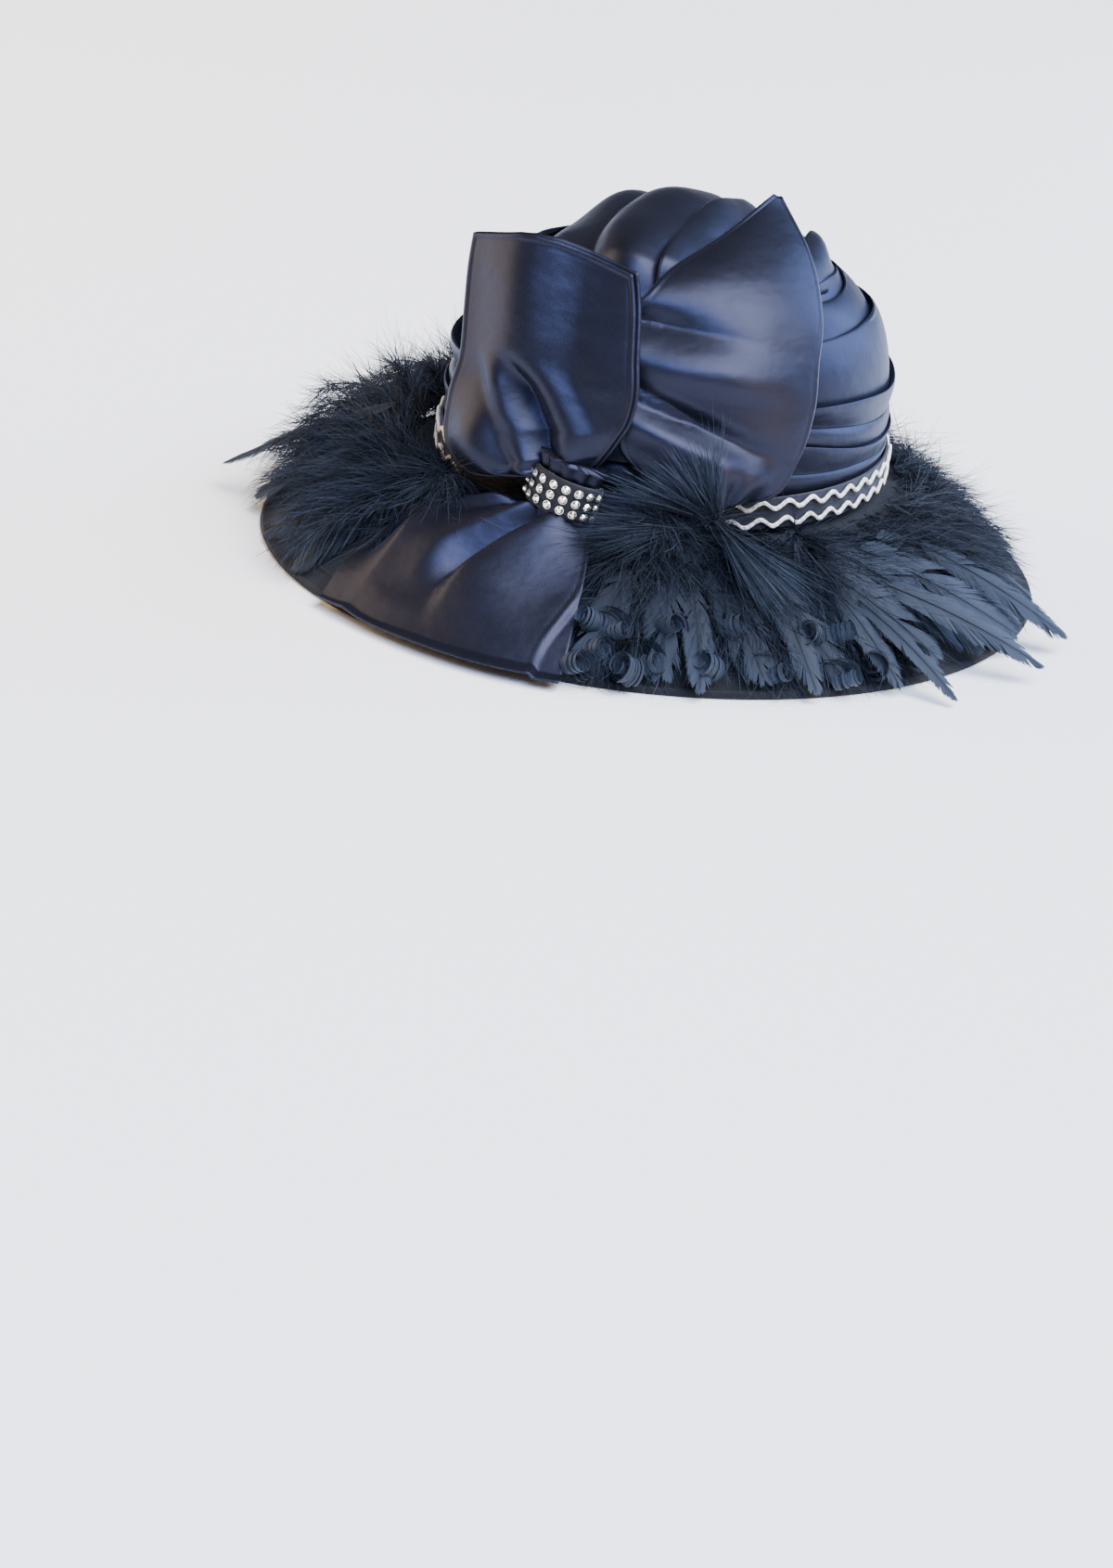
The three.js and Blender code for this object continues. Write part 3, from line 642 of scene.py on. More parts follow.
class HAT_OT_drape(Operator):
    """Fold the satin round the crown and over its top"""

    bl_idname = "hat.drape"
    bl_label = "Satin drape"

    foot = 39.4
    smooth_below = 55.5
    top_edge = 116.5
    thickness = 0.0005

    def execute(self, context):
        form = Form(context.scene.hat_sizes)
        side = self.side(form)
        top = self.top(form)
        mesh = bpy.data.meshes.new("top")
        top.to_mesh(mesh)
        top.free()
        side.from_mesh(mesh)
        bpy.data.meshes.remove(mesh)
        piece = add_piece(context, "satin_drape", side, "satin", ["crown_drape"])
        thicken(piece, self.thickness, -1.0)
        area = sum(face.area for face in piece.data.polygons)
        round(area / 0.62, 3)
        return {"FINISHED"}

    def lip(self, bearing, index):
        """The height of a side fold's lip at a bearing."""
        if index < 0:
            return np.full_like(bearing, self.smooth_below)
        fold = SIDE_FOLDS[index]
        bow, right = np.cos(np.radians(bearing)), np.sin(np.radians(bearing))
        level = np.where(bow > 0, fold["bow"], fold["front"]) * bow**2
        level += np.where(right > 0, fold["right"], fold["left"]) * right**2
        return level + 0.8 * ripples(20 + index, bearing / 360, 0 * bearing, 2, 6, whole=True)

    def side(self, form):
        folds, along, out = fold_rows(SIDE_FOLDS)
        plain = 5
        rows = plain + len(folds) - 1

        def place(u, v):
            row = np.round(v * rows).astype(int)
            bearing = 360 * u
            height = mix(self.foot, self.smooth_below, np.clip(row / plain, 0, 1))
            rise = np.zeros_like(u)
            for index, fold in enumerate(SIDE_FOLDS):
                low, high = self.lip(bearing, index - 1), self.lip(bearing, index)
                swell = 1 + 0.25 * ripples(40 + index, u, 0 * u, 1, 5, whole=True)
                swell = swell * (1 - 0.45 * np.clip(np.sin(np.radians(bearing)), 0, 1) ** 2)
                part = row - plain
                here = (part >= 0) & (folds[np.clip(part, 0, len(folds) - 1)] == index)
                at = np.clip(part, 0, len(folds) - 1)
                height = np.where(here, low + along[at] * (high - low), height)
                rise = np.where(here, out[at] * fold["rise"] * swell, rise)
            soft = 0.35 * ripples(60, u, v, 3, 9, whole=True)
            offset = 1.1 + rise + soft * ease(height, 58, 66)
            return form.to_row(form.dome(bearing, form.dome_angle(height), offset))

        return sheet_grid(240, rows, place, joined=True)

    def top(self, form):
        folds, along, out = fold_rows(TOP_FOLDS)
        starts = [1.04] + [fold["across"] for fold in TOP_FOLDS]
        tail = 10
        columns = len(folds) + tail - 1
        cap = np.cos(form.dome_angle(self.top_edge)) ** form.side_power

        def place(u, v):
            column = np.round(u * columns).astype(int)
            past_folds = np.clip((column - len(folds) + 1) / tail, 0, 1)
            across = mix(TOP_FOLDS[-1]["across"] - 0.02, -1.0, past_folds)
            rise = np.zeros_like(u)
            to_bow = 2 * v - 1
            for index, fold in enumerate(TOP_FOLDS):
                at = np.clip(column, 0, len(folds) - 1)
                here = (column < len(folds)) & (folds[at] == index)
                wander = 0.03 * ripples(80 + index, v, 0 * v, 0.5, 2)
                across = np.where(here, mix(starts[index], starts[index + 1], along[at]) + wander, across)
                swell = 1 + 0.25 * ripples(90 + index, v, 0 * v, 0.5, 2.5)
                rise = np.where(here, out[at] * fold["rise"] * swell, rise)
            across = np.clip(across - TOP_SKEW * to_bow * (1 - np.clip(across, -1, 1) ** 2), -1, 1)
            right = across * np.sqrt(1 - to_bow**2 / 2)
            bow = to_bow * np.sqrt(1 - across**2 / 2)
            reach = np.clip(np.hypot(right, bow), 0, 1)
            bearing = np.degrees(np.arctan2(right, bow))
            angle = np.arccos(np.clip(reach * cap, 0, 1) ** (1 / form.side_power))
            flat = form.dome(bearing, angle, 1.0)
            place_across = flat @ sideways(0.0)
            lump = sum(
                ridge["rise"] * bump(place_across - ridge["across"], ridge["spread"]) for ridge in TOP_RIDGES
            )
            soft = 0.8 * ripples(99, u, v, 1, 4)
            offset = 1.0 + (rise + lump + soft) * (1 - ease(reach, 0.72, 1.0))
            return form.to_row(form.dome(bearing, angle, offset))

        return sheet_grid(columns, 104, place)


# Band and braid


class HAT_OT_trim(Operator):
    """Lay the ribbed band and the two wavy braids round the foot of the crown, tucked in behind the bow"""

    bl_idname = "hat.trim"
    bl_label = "Band and braid"

    foot = 42.6
    top = 54.9
    swing = 1.45
    tuck = 2.6
    braids = {"upper": 52.3, "lower": 45.3}

    def execute(self, context):
        sizes = context.scene.hat_sizes
        form = Form(sizes)
        waves = sizes.braid_waves

        def band(u, v):
            loop = 2 * np.pi * v
            across = np.clip(0.5 - 0.53 * np.cos(loop), 0, 1)
            outside = np.sin(loop) > 0
            wave = self.swing * np.sin(2 * np.pi * waves * u)
            middle = ease(across, 0.05, 0.25) * (1 - ease(across, 0.75, 0.95))
            rib = 0.28 * np.cos(2 * np.pi * 7 * across) * middle
            offset = np.where(outside, 3.3 + rib, 2.4)
            height = mix(self.foot, self.top, across) + wave * middle
            return form.to_row(form.at(360 * u, form.oval(360 * u, offset), height))

        mesh = sheet_grid(waves * 8, 56, band, joined=True)
        add_piece(context, "ribbed_band", mesh, "ribbon", ["hat_band"])

        for edge, height in self.braids.items():

            def braid(u, v, height=height):
                turn = 2 * np.pi * v
                wave = np.sin(2 * np.pi * waves * u)
                thick = 0.95 + 0.1 * np.cos(2 * np.pi * waves * u)
                twin = 1 - 0.16 * np.exp(-((np.sin(turn) / 0.3) ** 2)) * (np.cos(turn) > 0)
                bearing = (360 * u + 180) % 360 - 180
                tucked = ease(bearing, -50, -44) * (1 - ease(bearing, 3, 8))
                offset = 4.3 + 0.75 * np.cos(turn) * twin - self.tuck * tucked
                up = height + self.swing * wave + thick * np.sin(turn)
                return form.to_row(form.at(360 * u, form.oval(360 * u, offset), up))

            mesh = sheet_grid(waves * 14, 14, braid, joined=True)
            add_piece(context, f"wavy_braid_{edge}", mesh, "braid", [f"braid_{edge}"])
        return {"FINISHED"}


# Bow

LEFT_LEAF_BEARING = -28.0
LEFT_LEAF_EDGES = table(
    "step left left_up right right_up",
    (0, 6, 60, 24, 62),
    (1, -20, 54, 31, 70),
    (2, -34, 62, 36, 78),
    (3, -37.5, 79, 39.5, 87),
    (4, -36.5, 95, 39.5, 98),
    (5, -39.5, 112, 36, 110),
    (6, -42, 127, 31.5, 125),
    (7, -43, 139, 26, 139),
)
RIGHT_LEAF_BEARING = 22.0
RIGHT_LEAF_EDGES = table(
    "step left left_up left_out right right_up right_out",
    (0, -40, 62, 98, -14, 56.5, 104),
    (1, -54, 74, 92, 8, 61, 100),
    (2, -57, 89, 89, 17, 75, 97),
    (3, -56, 105, 83, 22, 92, 92),
    (4, -51, 121, 74, 24, 108, 85),
    (5, -35, 134.5, 62, 28, 122.5, 73),
    (6, -4, 146, 42, 31, 139, 47),
    (7, 23, 156, 19, 28, 154.5, 17),
)
TAIL_EDGES = table(
    "along left right",
    (0, -29, -12),
    (0.25, -46, -10),
    (0.6, -48, -9),
    (1, -46, -8.5),
)


class HAT_OT_bow(Operator):
    """Shape the bow: two leaves, a tail, the knot and the strip round it"""

    bl_idname = "hat.bow"
    bl_label = "Satin bow"

    knot_bearing = -18.0
    knot_radius = 112.5
    knot_height = 55.5
    knot_tilt = math.radians(11)
    core_half_width = 12.6
    core_half_depth = 6.3
    core_half_height = 13.5
    strip_half_width = 13.2
    strip_half_depth = 6.7
    strip_half_height = 7.25
    strip_half_turn = 98.0
    strip_thickness = 0.0011

    def execute(self, context):
        form = Form(context.scene.hat_sizes)
        lining = self.left_leaf(behind=1.9, beyond=1.3)
        right = self.right_leaf(form)
        self.cloth(context, form, "satin_leaf_left", self.left_leaf(), 90, 110, ["bow_leaf_left"], "hung")
        self.cloth(context, form, "satin_leaf_left_lining", lining, 70, 90, [], "hung")
        self.cloth(context, form, "satin_leaf_right", right, 90, 120, ["bow_leaf_right"], "gathered")
        self.cloth(context, form, "satin_tail", self.tail(form), 110, 90, ["bow_tail"], "gathered")
        self.knot(context, form)
        return {"FINISHED"}

    def cloth(self, context, form, name, place, columns, rows, nodes, held):
        """One sheet of the bow, with a turned hem along its edges."""
        sheet = sheet_grid(columns, rows, lambda u, v: form.to_row(place(u, v)))
        piece = add_piece(context, name, sheet, "satin", nodes)
        thicken(piece, context.scene.hat_sizes.satin)
        area = sum(face.area for face in piece.data.polygons)
        round(area / 0.09, 3)

    def hem(self, inset):
        """The ridge of a turned hem at a distance in from the edge, in millimetres."""
        return 0.42 * bump(inset - 0.9, 1.0) - 0.18 * bump(inset - 2.3, 0.6)

    def left_leaf(self, behind=0.0, beyond=0.0):
        """The standing leaf, or its lining a little behind it and beyond its right edge."""
        steps = LEFT_LEAF_EDGES[-1]["step"]

        def place(s, t):
            left, left_up, right, right_up = through(
                LEFT_LEAF_EDGES, "step", ("left", "left_up", "right", "right_up"), t * steps
            )
            width = right - left
            across = left + width * s
            pitch = np.minimum(s / 0.44, (1 - s) / 0.56)
            up = mix(left_up, right_up, s) + 8.5 * t**3 * (pitch - 0.12 * bump(pitch - 1, 0.25))
            rise = 5.5 * bump(s - 0.36, 0.36) * ease(t, 0.42, 0.62) * (1 - 0.35 * ease(t, 0.8, 1))
            rise -= 7.0 * ease(s, 0.3, 0.9) * ease(t, 0.45, 1.0) ** 1.5
            rise += 7.5 * bump(s - 0.24, 0.26) * bump(t - 0.30, 0.26)
            valley = np.interp(t, [0.05, 0.2, 0.35, 0.48, 0.6], [0.58, 0.66, 0.60, 0.47, 0.36])
            depth = ease(t, 0.04, 0.2) * (1 - ease(t, 0.5, 0.64))
            rise -= 6.0 * crease(s - valley, 0.055) * depth
            rise += 3.5 * bump(s - valley + 0.14, 0.12) * depth
            rise += 3.0 * bump(s - valley - 0.17, 0.15) * depth
            rise -= 4.0 * bump(s - 0.93, 0.2) * (1 - ease(t, 0.1, 0.4))
            gather = (1 - ease(t, 0.04, 0.26)) * ease(t, 0, 0.02)
            rise += 1.5 * np.cos(2 * np.pi * 4.5 * s) * gather
            rise += 0.35 * ripples(11, s, t, 0.6, 2.2)
            inset = np.minimum(np.minimum(s, 1 - s) * width, (1 - t) * 88)
            stand = 117 - 0.2 * (up - 60) - across**2 / 320 + rise + self.hem(inset) - behind
            across = across + beyond * ease(s, 0.85, 1)
            up = up + 0.6 * beyond * ease(t, 0.85, 1) * ease(s, 0.3, 0.6)
            point = outward(LEFT_LEAF_BEARING) * stand[:, None]
            point = point + sideways(LEFT_LEAF_BEARING) * across[:, None]
            point[:, 2] = up
            return point

        return place

    def right_leaf(self, form):
        steps = RIGHT_LEAF_EDGES[-1]["step"]
        names = ("left", "left_up", "left_out", "right", "right_up", "right_out")

        def place(s, t):
            edges = through(RIGHT_LEAF_EDGES, "step", names, t * steps)
            left, left_up, left_out, right, right_up, right_out = edges
            width = np.hypot(right - left, right_up - left_up)
            across = mix(left, right, s)
            up = mix(left_up, right_up, s)
            out = mix(left_out, right_out, s)
            bulge = 11 * np.sin(np.pi * s) ** 0.8
            eye = 1 - ease(across, -46, 2)
            bulge -= 8.0 * crease(up - 119 + 0.06 * (across + 48), 5.5) * eye
            bulge += 3.0 * bump(up - 130, 10) * eye
            bulge += 3.5 * bump(up - 108 + 0.15 * (across + 30), 12) * (1 - ease(across, -20, 22))
            long = 1 - ease(across, -38, 18)
            valley = up - 94 + 0.36 * (across + 50)
            bulge -= (4.5 * crease(valley, 8.0) + 4.0 * bump(valley, 9.0)) * long
            bulge += 3.5 * bump(up - 78 + 0.42 * (across + 30), 13) * (1 - ease(across, -24, 20))
            fan = np.degrees(np.arctan2(across + 18, np.maximum(up - 52, 1)))
            bulge += 0.9 * np.cos(np.radians(fan * 9)) * (1 - ease(up, 60, 84))
            bulge += 0.4 * ripples(12, s, t, 0.6, 2.2)
            inset = np.minimum(s, 1 - s) * width
            bulge = bulge * (1 - ease(t, 0.72, 1.0)) + self.hem(inset)
            lean = ease(t, 0.5, 1)
            point = outward(RIGHT_LEAF_BEARING) * (out + bulge * (1 - 0.7 * lean))[:, None]
            point = point + sideways(RIGHT_LEAF_BEARING) * across[:, None]
            point[:, 2] = up + 0.7 * bulge * lean
            return form.clear_of_crown(point, 8.6)

        return place

    def tail(self, form):
        def place(s, t):
            left, right = through(TAIL_EDGES, "along", ("left", "right"), t)
            bearing = mix(left, right, s)
            end = mix(1.085, 1.175, ease(s, 0, 0.85))
            out = mix(0.2, end, t)
            lift = mix(10.0, 3.2, ease(t, 0, 0.5)) - 2.0 * ease(t, 0.75, 1) * (1 - s)
            fade = ease(t, 0, 0.12)
            brow = 0.24 - 0.10 * t
            lift += 6.0 * crease(s - brow, 0.075) * fade * (1 - 0.75 * ease(t, 0.45, 0.95))
            lift -= 4.0 * bump(s - brow + 0.13, 0.10) * fade * (1 - ease(t, 0.5, 0.9))
            lap = mix(0.62, 0.42, ease(t, 0, 0.65)) - s
            strength = fade * (1 - ease(t, 0.42, 0.76))
            lift += 6.5 * ease(lap, -0.02, 0.10) * (1 - ease(lap, 0.10, 0.42)) * strength
            lift -= 2.0 * crease(lap + 0.035, 0.03) * strength
            panel = fade * (1 - ease(t, 0.45, 0.92))
            lift += 6.5 * ease(-lap, 0.02, 0.09) * (1 - ease(-lap, 0.09, 0.46)) * panel
            lift += 1.0 * np.cos(2 * np.pi * 4 * s) * (1 - ease(t, 0.04, 0.3))
            lift += 0.4 * ripples(13, s, t, 0.6, 2.4)
            width = np.radians(right - left) * 150
            turned = 1 - 0.10 * ease(t, 0.35, 0.85)
            inset = np.minimum(np.abs(turned - s) * width, (1 - t) * 78)
            lift += self.hem(inset) - 1.6 * ease(s, turned, turned + 0.012) * ease(t, 0.35, 0.6)
            point = form.on_brim(bearing, out, lift)
            slope = form.root * (1 - np.clip(out / 1.1, 0, 1.04) ** 1.5) + form.felt
            least = slope + lift * mix(1, 0.2, ease(t, 0.5, 1)) - 1.2 * ease(t, 0.8, 1)
            point[:, 2] = np.maximum(point[:, 2], least)
            return point

        return place

    @classmethod
    def around_knot(cls, turn, proud, up):
        across = (cls.strip_half_width + proud) * np.sin(np.radians(turn))
        depth = (cls.strip_half_depth + proud) * np.cos(np.radians(turn))
        return cls.at_knot(across, depth, up)

    @classmethod
    def at_knot(cls, across, depth, up):
        """A place by the knot, which is turned a little in its own plane."""
        cos, sin = math.cos(cls.knot_tilt), math.sin(cls.knot_tilt)
        point = outward(cls.knot_bearing) * (cls.knot_radius + depth)[:, None]
        point = point + sideways(cls.knot_bearing) * (across * cos + up * sin)[:, None]
        point[:, 2] = cls.knot_height + up * cos - across * sin
        return point

    def knot(self, context, form):
        half = self.core_half_height

        def core(u, v):
            turn = 360 * u
            up = mix(-half, half, v)
            flare = 0.82 + 0.3 * np.abs(up / half) ** 2.2
            close = np.clip((1 - np.abs(up) / half) * 40, 0, 1) ** 0.5
            pleat = 1 + 0.07 * np.cos(np.radians(turn * 11)) + 0.03 * np.cos(np.radians(turn * 5 + 40))
            scale = flare * close * pleat
            across = self.core_half_width * scale * np.sin(np.radians(turn))
            depth = self.core_half_depth * scale * np.cos(np.radians(turn))
            return form.to_row(self.at_knot(across, depth, up))

        mesh = sheet_grid(110, 40, core, joined=True)
        add_piece(context, "satin_knot", mesh, "satin", ["bow_knot"])

        def strip(u, v):
            up = mix(-self.strip_half_height, self.strip_half_height, v)
            proud = 0.6 - 0.5 * ease(np.abs(up), 5.6, self.strip_half_height)
            turn = mix(-self.strip_half_turn, self.strip_half_turn, u)
            return form.to_row(self.around_knot(turn, proud, up))

        mesh = sheet_grid(80, 20, strip)
        piece = add_piece(context, "black_strip", mesh, "black", ["stone_band"])
        thicken(piece, self.strip_thickness)


class HAT_OT_stones(Operator):
    """Set the rows of cut stones on the strip"""

    bl_idname = "hat.stones"
    bl_label = "Cut stones"

    rows = 3
    columns = 8
    row_pitch = 4.3
    half_turn = 72.0

    def execute(self, context):
        form = Form(context.scene.hat_sizes)
        made = bmesh.new()
        nodes = []
        for row in range(self.rows):
            for column in range(self.columns):
                turn = np.array([mix(-self.half_turn, self.half_turn, column / (self.columns - 1))])
                up = self.row_pitch * ((self.rows - 1) / 2 - row)
                seat = HAT_OT_bow.around_knot(turn, 1.35, up + 0 * turn)[0]
                facing = HAT_OT_bow.around_knot(turn, 5.0, up + 0 * turn)[0] - seat
                self.stone(made, Vector(form.to_row(seat)), Vector(facing), 17.0 * column + 31.0 * row)
                nodes.append(f"stone_r{row + 1}_c{column + 1}")
        add_piece(context, "cut_stones", made, "stone", nodes, smooth=False)
        return {"FINISHED"}

    def stone(self, made, seat, facing, spin):
        """A round stone with a table, main facets, breaks between them and a girdle."""
        turn = facing.to_track_quat("Z", "Y").to_matrix().to_4x4()
        place = Matrix.Translation(seat) @ turn @ Matrix.Rotation(math.radians(spin), 4, "Z")
        crown = bmesh.ops.create_cone(
            made,
            cap_ends=True,
            segments=8,
            radius1=1.62 * MM,
            radius2=0.85 * MM,
            depth=0.9 * MM,
            matrix=place @ Matrix.Translation((0, 0, 0.98 * MM)),
        )["verts"]
        edges = {edge for vertex in crown for edge in vertex.link_edges}
        slants = [edge for edge in edges if all(len(face.verts) == 4 for face in edge.link_faces)]
        bmesh.ops.bevel(
            made,
            geom=slants,
            offset=0.28 * MM,
            segments=1,
            profile=0.5,
            affect="EDGES",
            material=-1,
            clamp_overlap=True,
        )
        bmesh.ops.create_cone(
            made,
            cap_ends=True,
            segments=16,
            radius1=1.35 * MM,
            radius2=1.68 * MM,
            depth=0.5 * MM,
            matrix=place @ Matrix.Translation((0, 0, 0.28 * MM)),
        )


# Feathers: each barb is a strand of four points

STRAND = np.array([0.0, 0.34, 0.68, 1.0])
UP = np.array([0.0, 0.0, 1.0])

PLUMES = table(
    "name from to stems barbs near far reach sweep",
    ("left", -166, -48, 150, 140, 26, 33, 1.02, -12),
    ("left", -160, -56, 54, 110, 18, 24, 1.0, -12),
    ("left", -56, -40, 20, 110, 30, 12, 0.45, 8),
    ("back", -5, 46, 100, 125, 19, 6, 0.98, 3),
    ("back", -7, 13, 54, 110, 30, 12, 0.55, 0),
    ("right", 40, 138, 130, 138, 8, 4, 0.92, 10),
    ("front", 134, 200, 90, 130, 16, 6, 0.95, 0),
)

# Flat feathers lie from a root to a tip on the brim, each place a bearing, a share of the brim and a lift.
VANES = table(
    "root tip half_width shade",
    ((34, 0.30, 12), (58, 1.00, 8), 11.0, 0.9),
    ((30, 0.40, 12), (48, 0.97, 7), 10.0, 0.6),
    ((42, 0.35, 12), (66, 1.05, 8), 11.5, 0.75),
    ((50, 0.30, 11), (74, 0.98, 5), 11.0, 0.5),
    ((44, 0.55, 9), (59, 1.36, 6), 7.0, 1.0),
    ((38, 0.60, 8), (43, 1.32, 1.5), 5.0, 0.8),
    ((62, 0.40, 10), (72, 1.27, 6), 8.0, 0.6),
    ((64, 0.30, 8), (88, 0.97, 4), 10.0, 0.4),
    ((84, 0.30, 8), (110, 0.98, 4), 10.0, 0.6),
    ((104, 0.30, 8), (128, 0.97, 4), 10.0, 0.4),
    ((16, 0.40, 12), (30, 0.98, 6), 9.0, 0.35),
    ((10, 0.40, 12), (18, 0.97, 6), 9.0, 0.3),
    ((4, 0.40, 12), (4, 0.96, 6), 9.0, 0.3),
    ((-2, 0.45, 11), (-6, 0.97, 6), 8.0, 0.3),
    ((8, 0.50, 10), (9, 1.06, 3), 6.0, 0.5),
    ((22, 0.50, 10), (25, 1.07, 3), 6.0, 0.45),
    ((34, 0.55, 9), (38, 1.09, 3), 6.0, 0.6),
    ((-78, 0.20, 22), (-92, 1.27, 9), 7.0, 1.0),
    ((-58, 0.25, 8), (-70, 0.98, 3), 10.0, 0.35),
    ((-52, 0.30, 7), (-56, 0.97, 3), 9.0, 0.35),
    ((-66, 0.25, 10), (-84, 1.02, 6), 10.0, 0.5),
    ((-110, 0.25, 20), (-126, 1.04, 16), 10.0, 0.5),
    ((150, 0.30, 10), (160, 0.90, 6), 10.0, 0.4),
    ((176, 0.30, 10), (176, 0.90, 6), 10.0, 0.4),
)

# Curled tips: a bearing, a share of the brim, a lift of the middle, a radius and a lean.
CURLS = [
    (-7, 1.05, 7, 6.5, 48), (-7, 0.78, 9, 5.5, -52), (-5, 0.92, 8, 6.0, 55), (-1, 1.00, 7, 6.5, -45),
    (-3, 0.84, 11, 5.0, 60), (4.5, 0.79, 11, 5.5, 40), (10, 0.93, 8, 6.0, -50), (14, 0.78, 11, 5.5, 52),
    (20, 0.95, 7, 5.5, 44), (26.5, 0.80, 10, 5.5, -55), (32, 0.82, 10, 5.5, 50), (36, 0.95, 7, 6.5, -40),
    (30, 1.03, 6, 5.0, 46), (44, 0.97, 7, 5.5, -48), (2, 0.93, 7, 6.0, 58),
]

# Sprays of long strands by the bow: a root and the ends of the arc that the tips reach.
SPRAYS = table(
    "root first last count shade",
    ((11.5, 116, 55), (-13, 122, 64), (10, 117, 98), 420, 0.9),
    ((11.5, 117, 54), (17, 146, 30), (29, 140, 36), 300, 0.8),
    ((8, 116, 52), (-6, 132, 40), (-10, 124, 58), 260, 0.3),
    ((4, 118, 49), (-12, 119, 55), (-12, 122, 40), 900, 0.25),
    ((-54, 107, 42), (-33, 113, 50), (-38, 119, 40), 600, 0.25),
    ((-50, 112, 46), (-56, 150, 24), (-72, 140, 32), 320, 0.6),
)


def unit(vectors):
    return vectors / np.maximum(np.linalg.norm(vectors, axis=-1, keepdims=True), 1e-9)


def on_curve(root, knee, tip, t):
    """Points and directions along a stem bent once."""
    point = root * (1 - t) ** 2 + 2 * knee * t * (1 - t) + tip * t**2
    return point, unit(2 * (1 - t) * (knee - root) + 2 * t * (tip - knee))


class Strands:
    """Gathers strands of one length in points for a single mesh."""

    def __init__(self):
        self.parts = []

    def add(self, paths, sides, widths, tips, shades):
        """Paths are strands by points by 3; the rest spread to the same strands and points."""
        shape = paths.shape[:2]
        self.parts.append((
            paths,
            np.broadcast_to(sides, paths.shape),
            np.broadcast_to(widths, shape),
            np.broadcast_to(tips, shape),
            np.broadcast_to(shades, shape),
        ))

    def piece(self, context, form, name, nodes=(), clear=0.6, most=None):
        paths, sides, widths, tips, shades = (np.concatenate(part) for part in zip(*self.parts))
        paths = form.above_brim(paths, clear, most)
        mesh = strand_mesh(name, form.to_row(paths), sides, widths * MM, tips, shades)
        add_piece(context, name, mesh, "feather", nodes)


class HAT_OT_plumes(Operator):
    """Grow the downy plumes round the brim"""

    bl_idname = "hat.plumes"
    bl_label = "Downy plumes"

    def execute(self, context):
        form = Form(context.scene.hat_sizes)
        settings = context.scene.hat_feathers
        pieces = {}
        for index, plume in enumerate(PLUMES):
            random = np.random.default_rng(settings.seed + index)
            strands = pieces.setdefault(plume["name"], Strands())
            self.grow(form, strands, plume, random, settings.fullness)
        for name, strands in pieces.items():
            strands.piece(context, form, f"down_{name}", [f"plume_{name}"], most=0.17)
        return {"FINISHED"}

    def grow(self, form, strands, plume, random, fullness):
        stems = plume["stems"]
        barbs = int(plume["barbs"] * fullness)
        share = (np.arange(stems) + random.random(stems)) / stems
        bearing = mix(plume["from"], plume["to"], share)
        ends = np.sin(np.pi * np.clip(share, 0.06, 0.94)) ** 0.4
        out = plume["reach"] * random.beta(3.0, 1.4, stems)
        lift = mix(2.0, mix(plume["near"], plume["far"], out), random.random(stems) ** 0.7) * ends
        swing = plume["sweep"] * ends + random.normal(0, 6.0, stems)
        root_out, root_lift = random.uniform(0.08, 0.30, stems), random.uniform(2, 7, stems)
        root = form.on_brim(bearing - swing / 2, root_out, root_lift)
        tip = form.on_brim(bearing + swing / 2, np.maximum(out, 0.36), lift)
        knee = (root + tip) / 2
        knee[:, 2] += 3 + 0.4 * lift

        at = random.random((stems, barbs, 1)) ** 0.7
        start, forward = on_curve(root[:, None], knee[:, None], tip[:, None], at)
        across = unit(np.cross(forward, UP))
        spin = random.uniform(0, 2 * np.pi, (stems, barbs, 1))
        ring = across * np.cos(spin) + np.cross(across, forward) * np.sin(spin)
        splay = random.uniform(0.2, 0.85, (stems, barbs, 1))
        direction = unit(forward + ring * splay + random.normal(0, 0.10, (stems, barbs, 3)))
        length = random.gamma(9.0, 2.2, (stems, barbs, 1)) * mix(1.0, 0.72, at)
        sag = random.normal(0, 0.16, (stems, 1, 3)) + np.array([0, 0, -0.16])
        bend = sag + random.normal(0, 0.10, (stems, barbs, 3))
        reach = STRAND[:, None]
        course = direction[:, :, None] * reach + bend[:, :, None] * reach**2
        paths = (start[:, :, None] + length[:, :, None] * course).reshape(-1, len(STRAND), 3)
        side = unit(np.cross(direction, random.normal(0, 1, (stems, barbs, 3)))).reshape(-1, 1, 3)
        widths = random.uniform(0.20, 0.38, (len(paths), 1)) * np.array([1.0, 0.9, 0.6, 0.12])
        tips = mix(0.3, 1.0, at.reshape(-1, 1)) * STRAND
        shades = (random.random((stems, 1)) ** 1.4 + 0.5 * random.random((stems, barbs)) ** 2).reshape(-1, 1)
        strands.add(paths, side, widths, tips, shades)


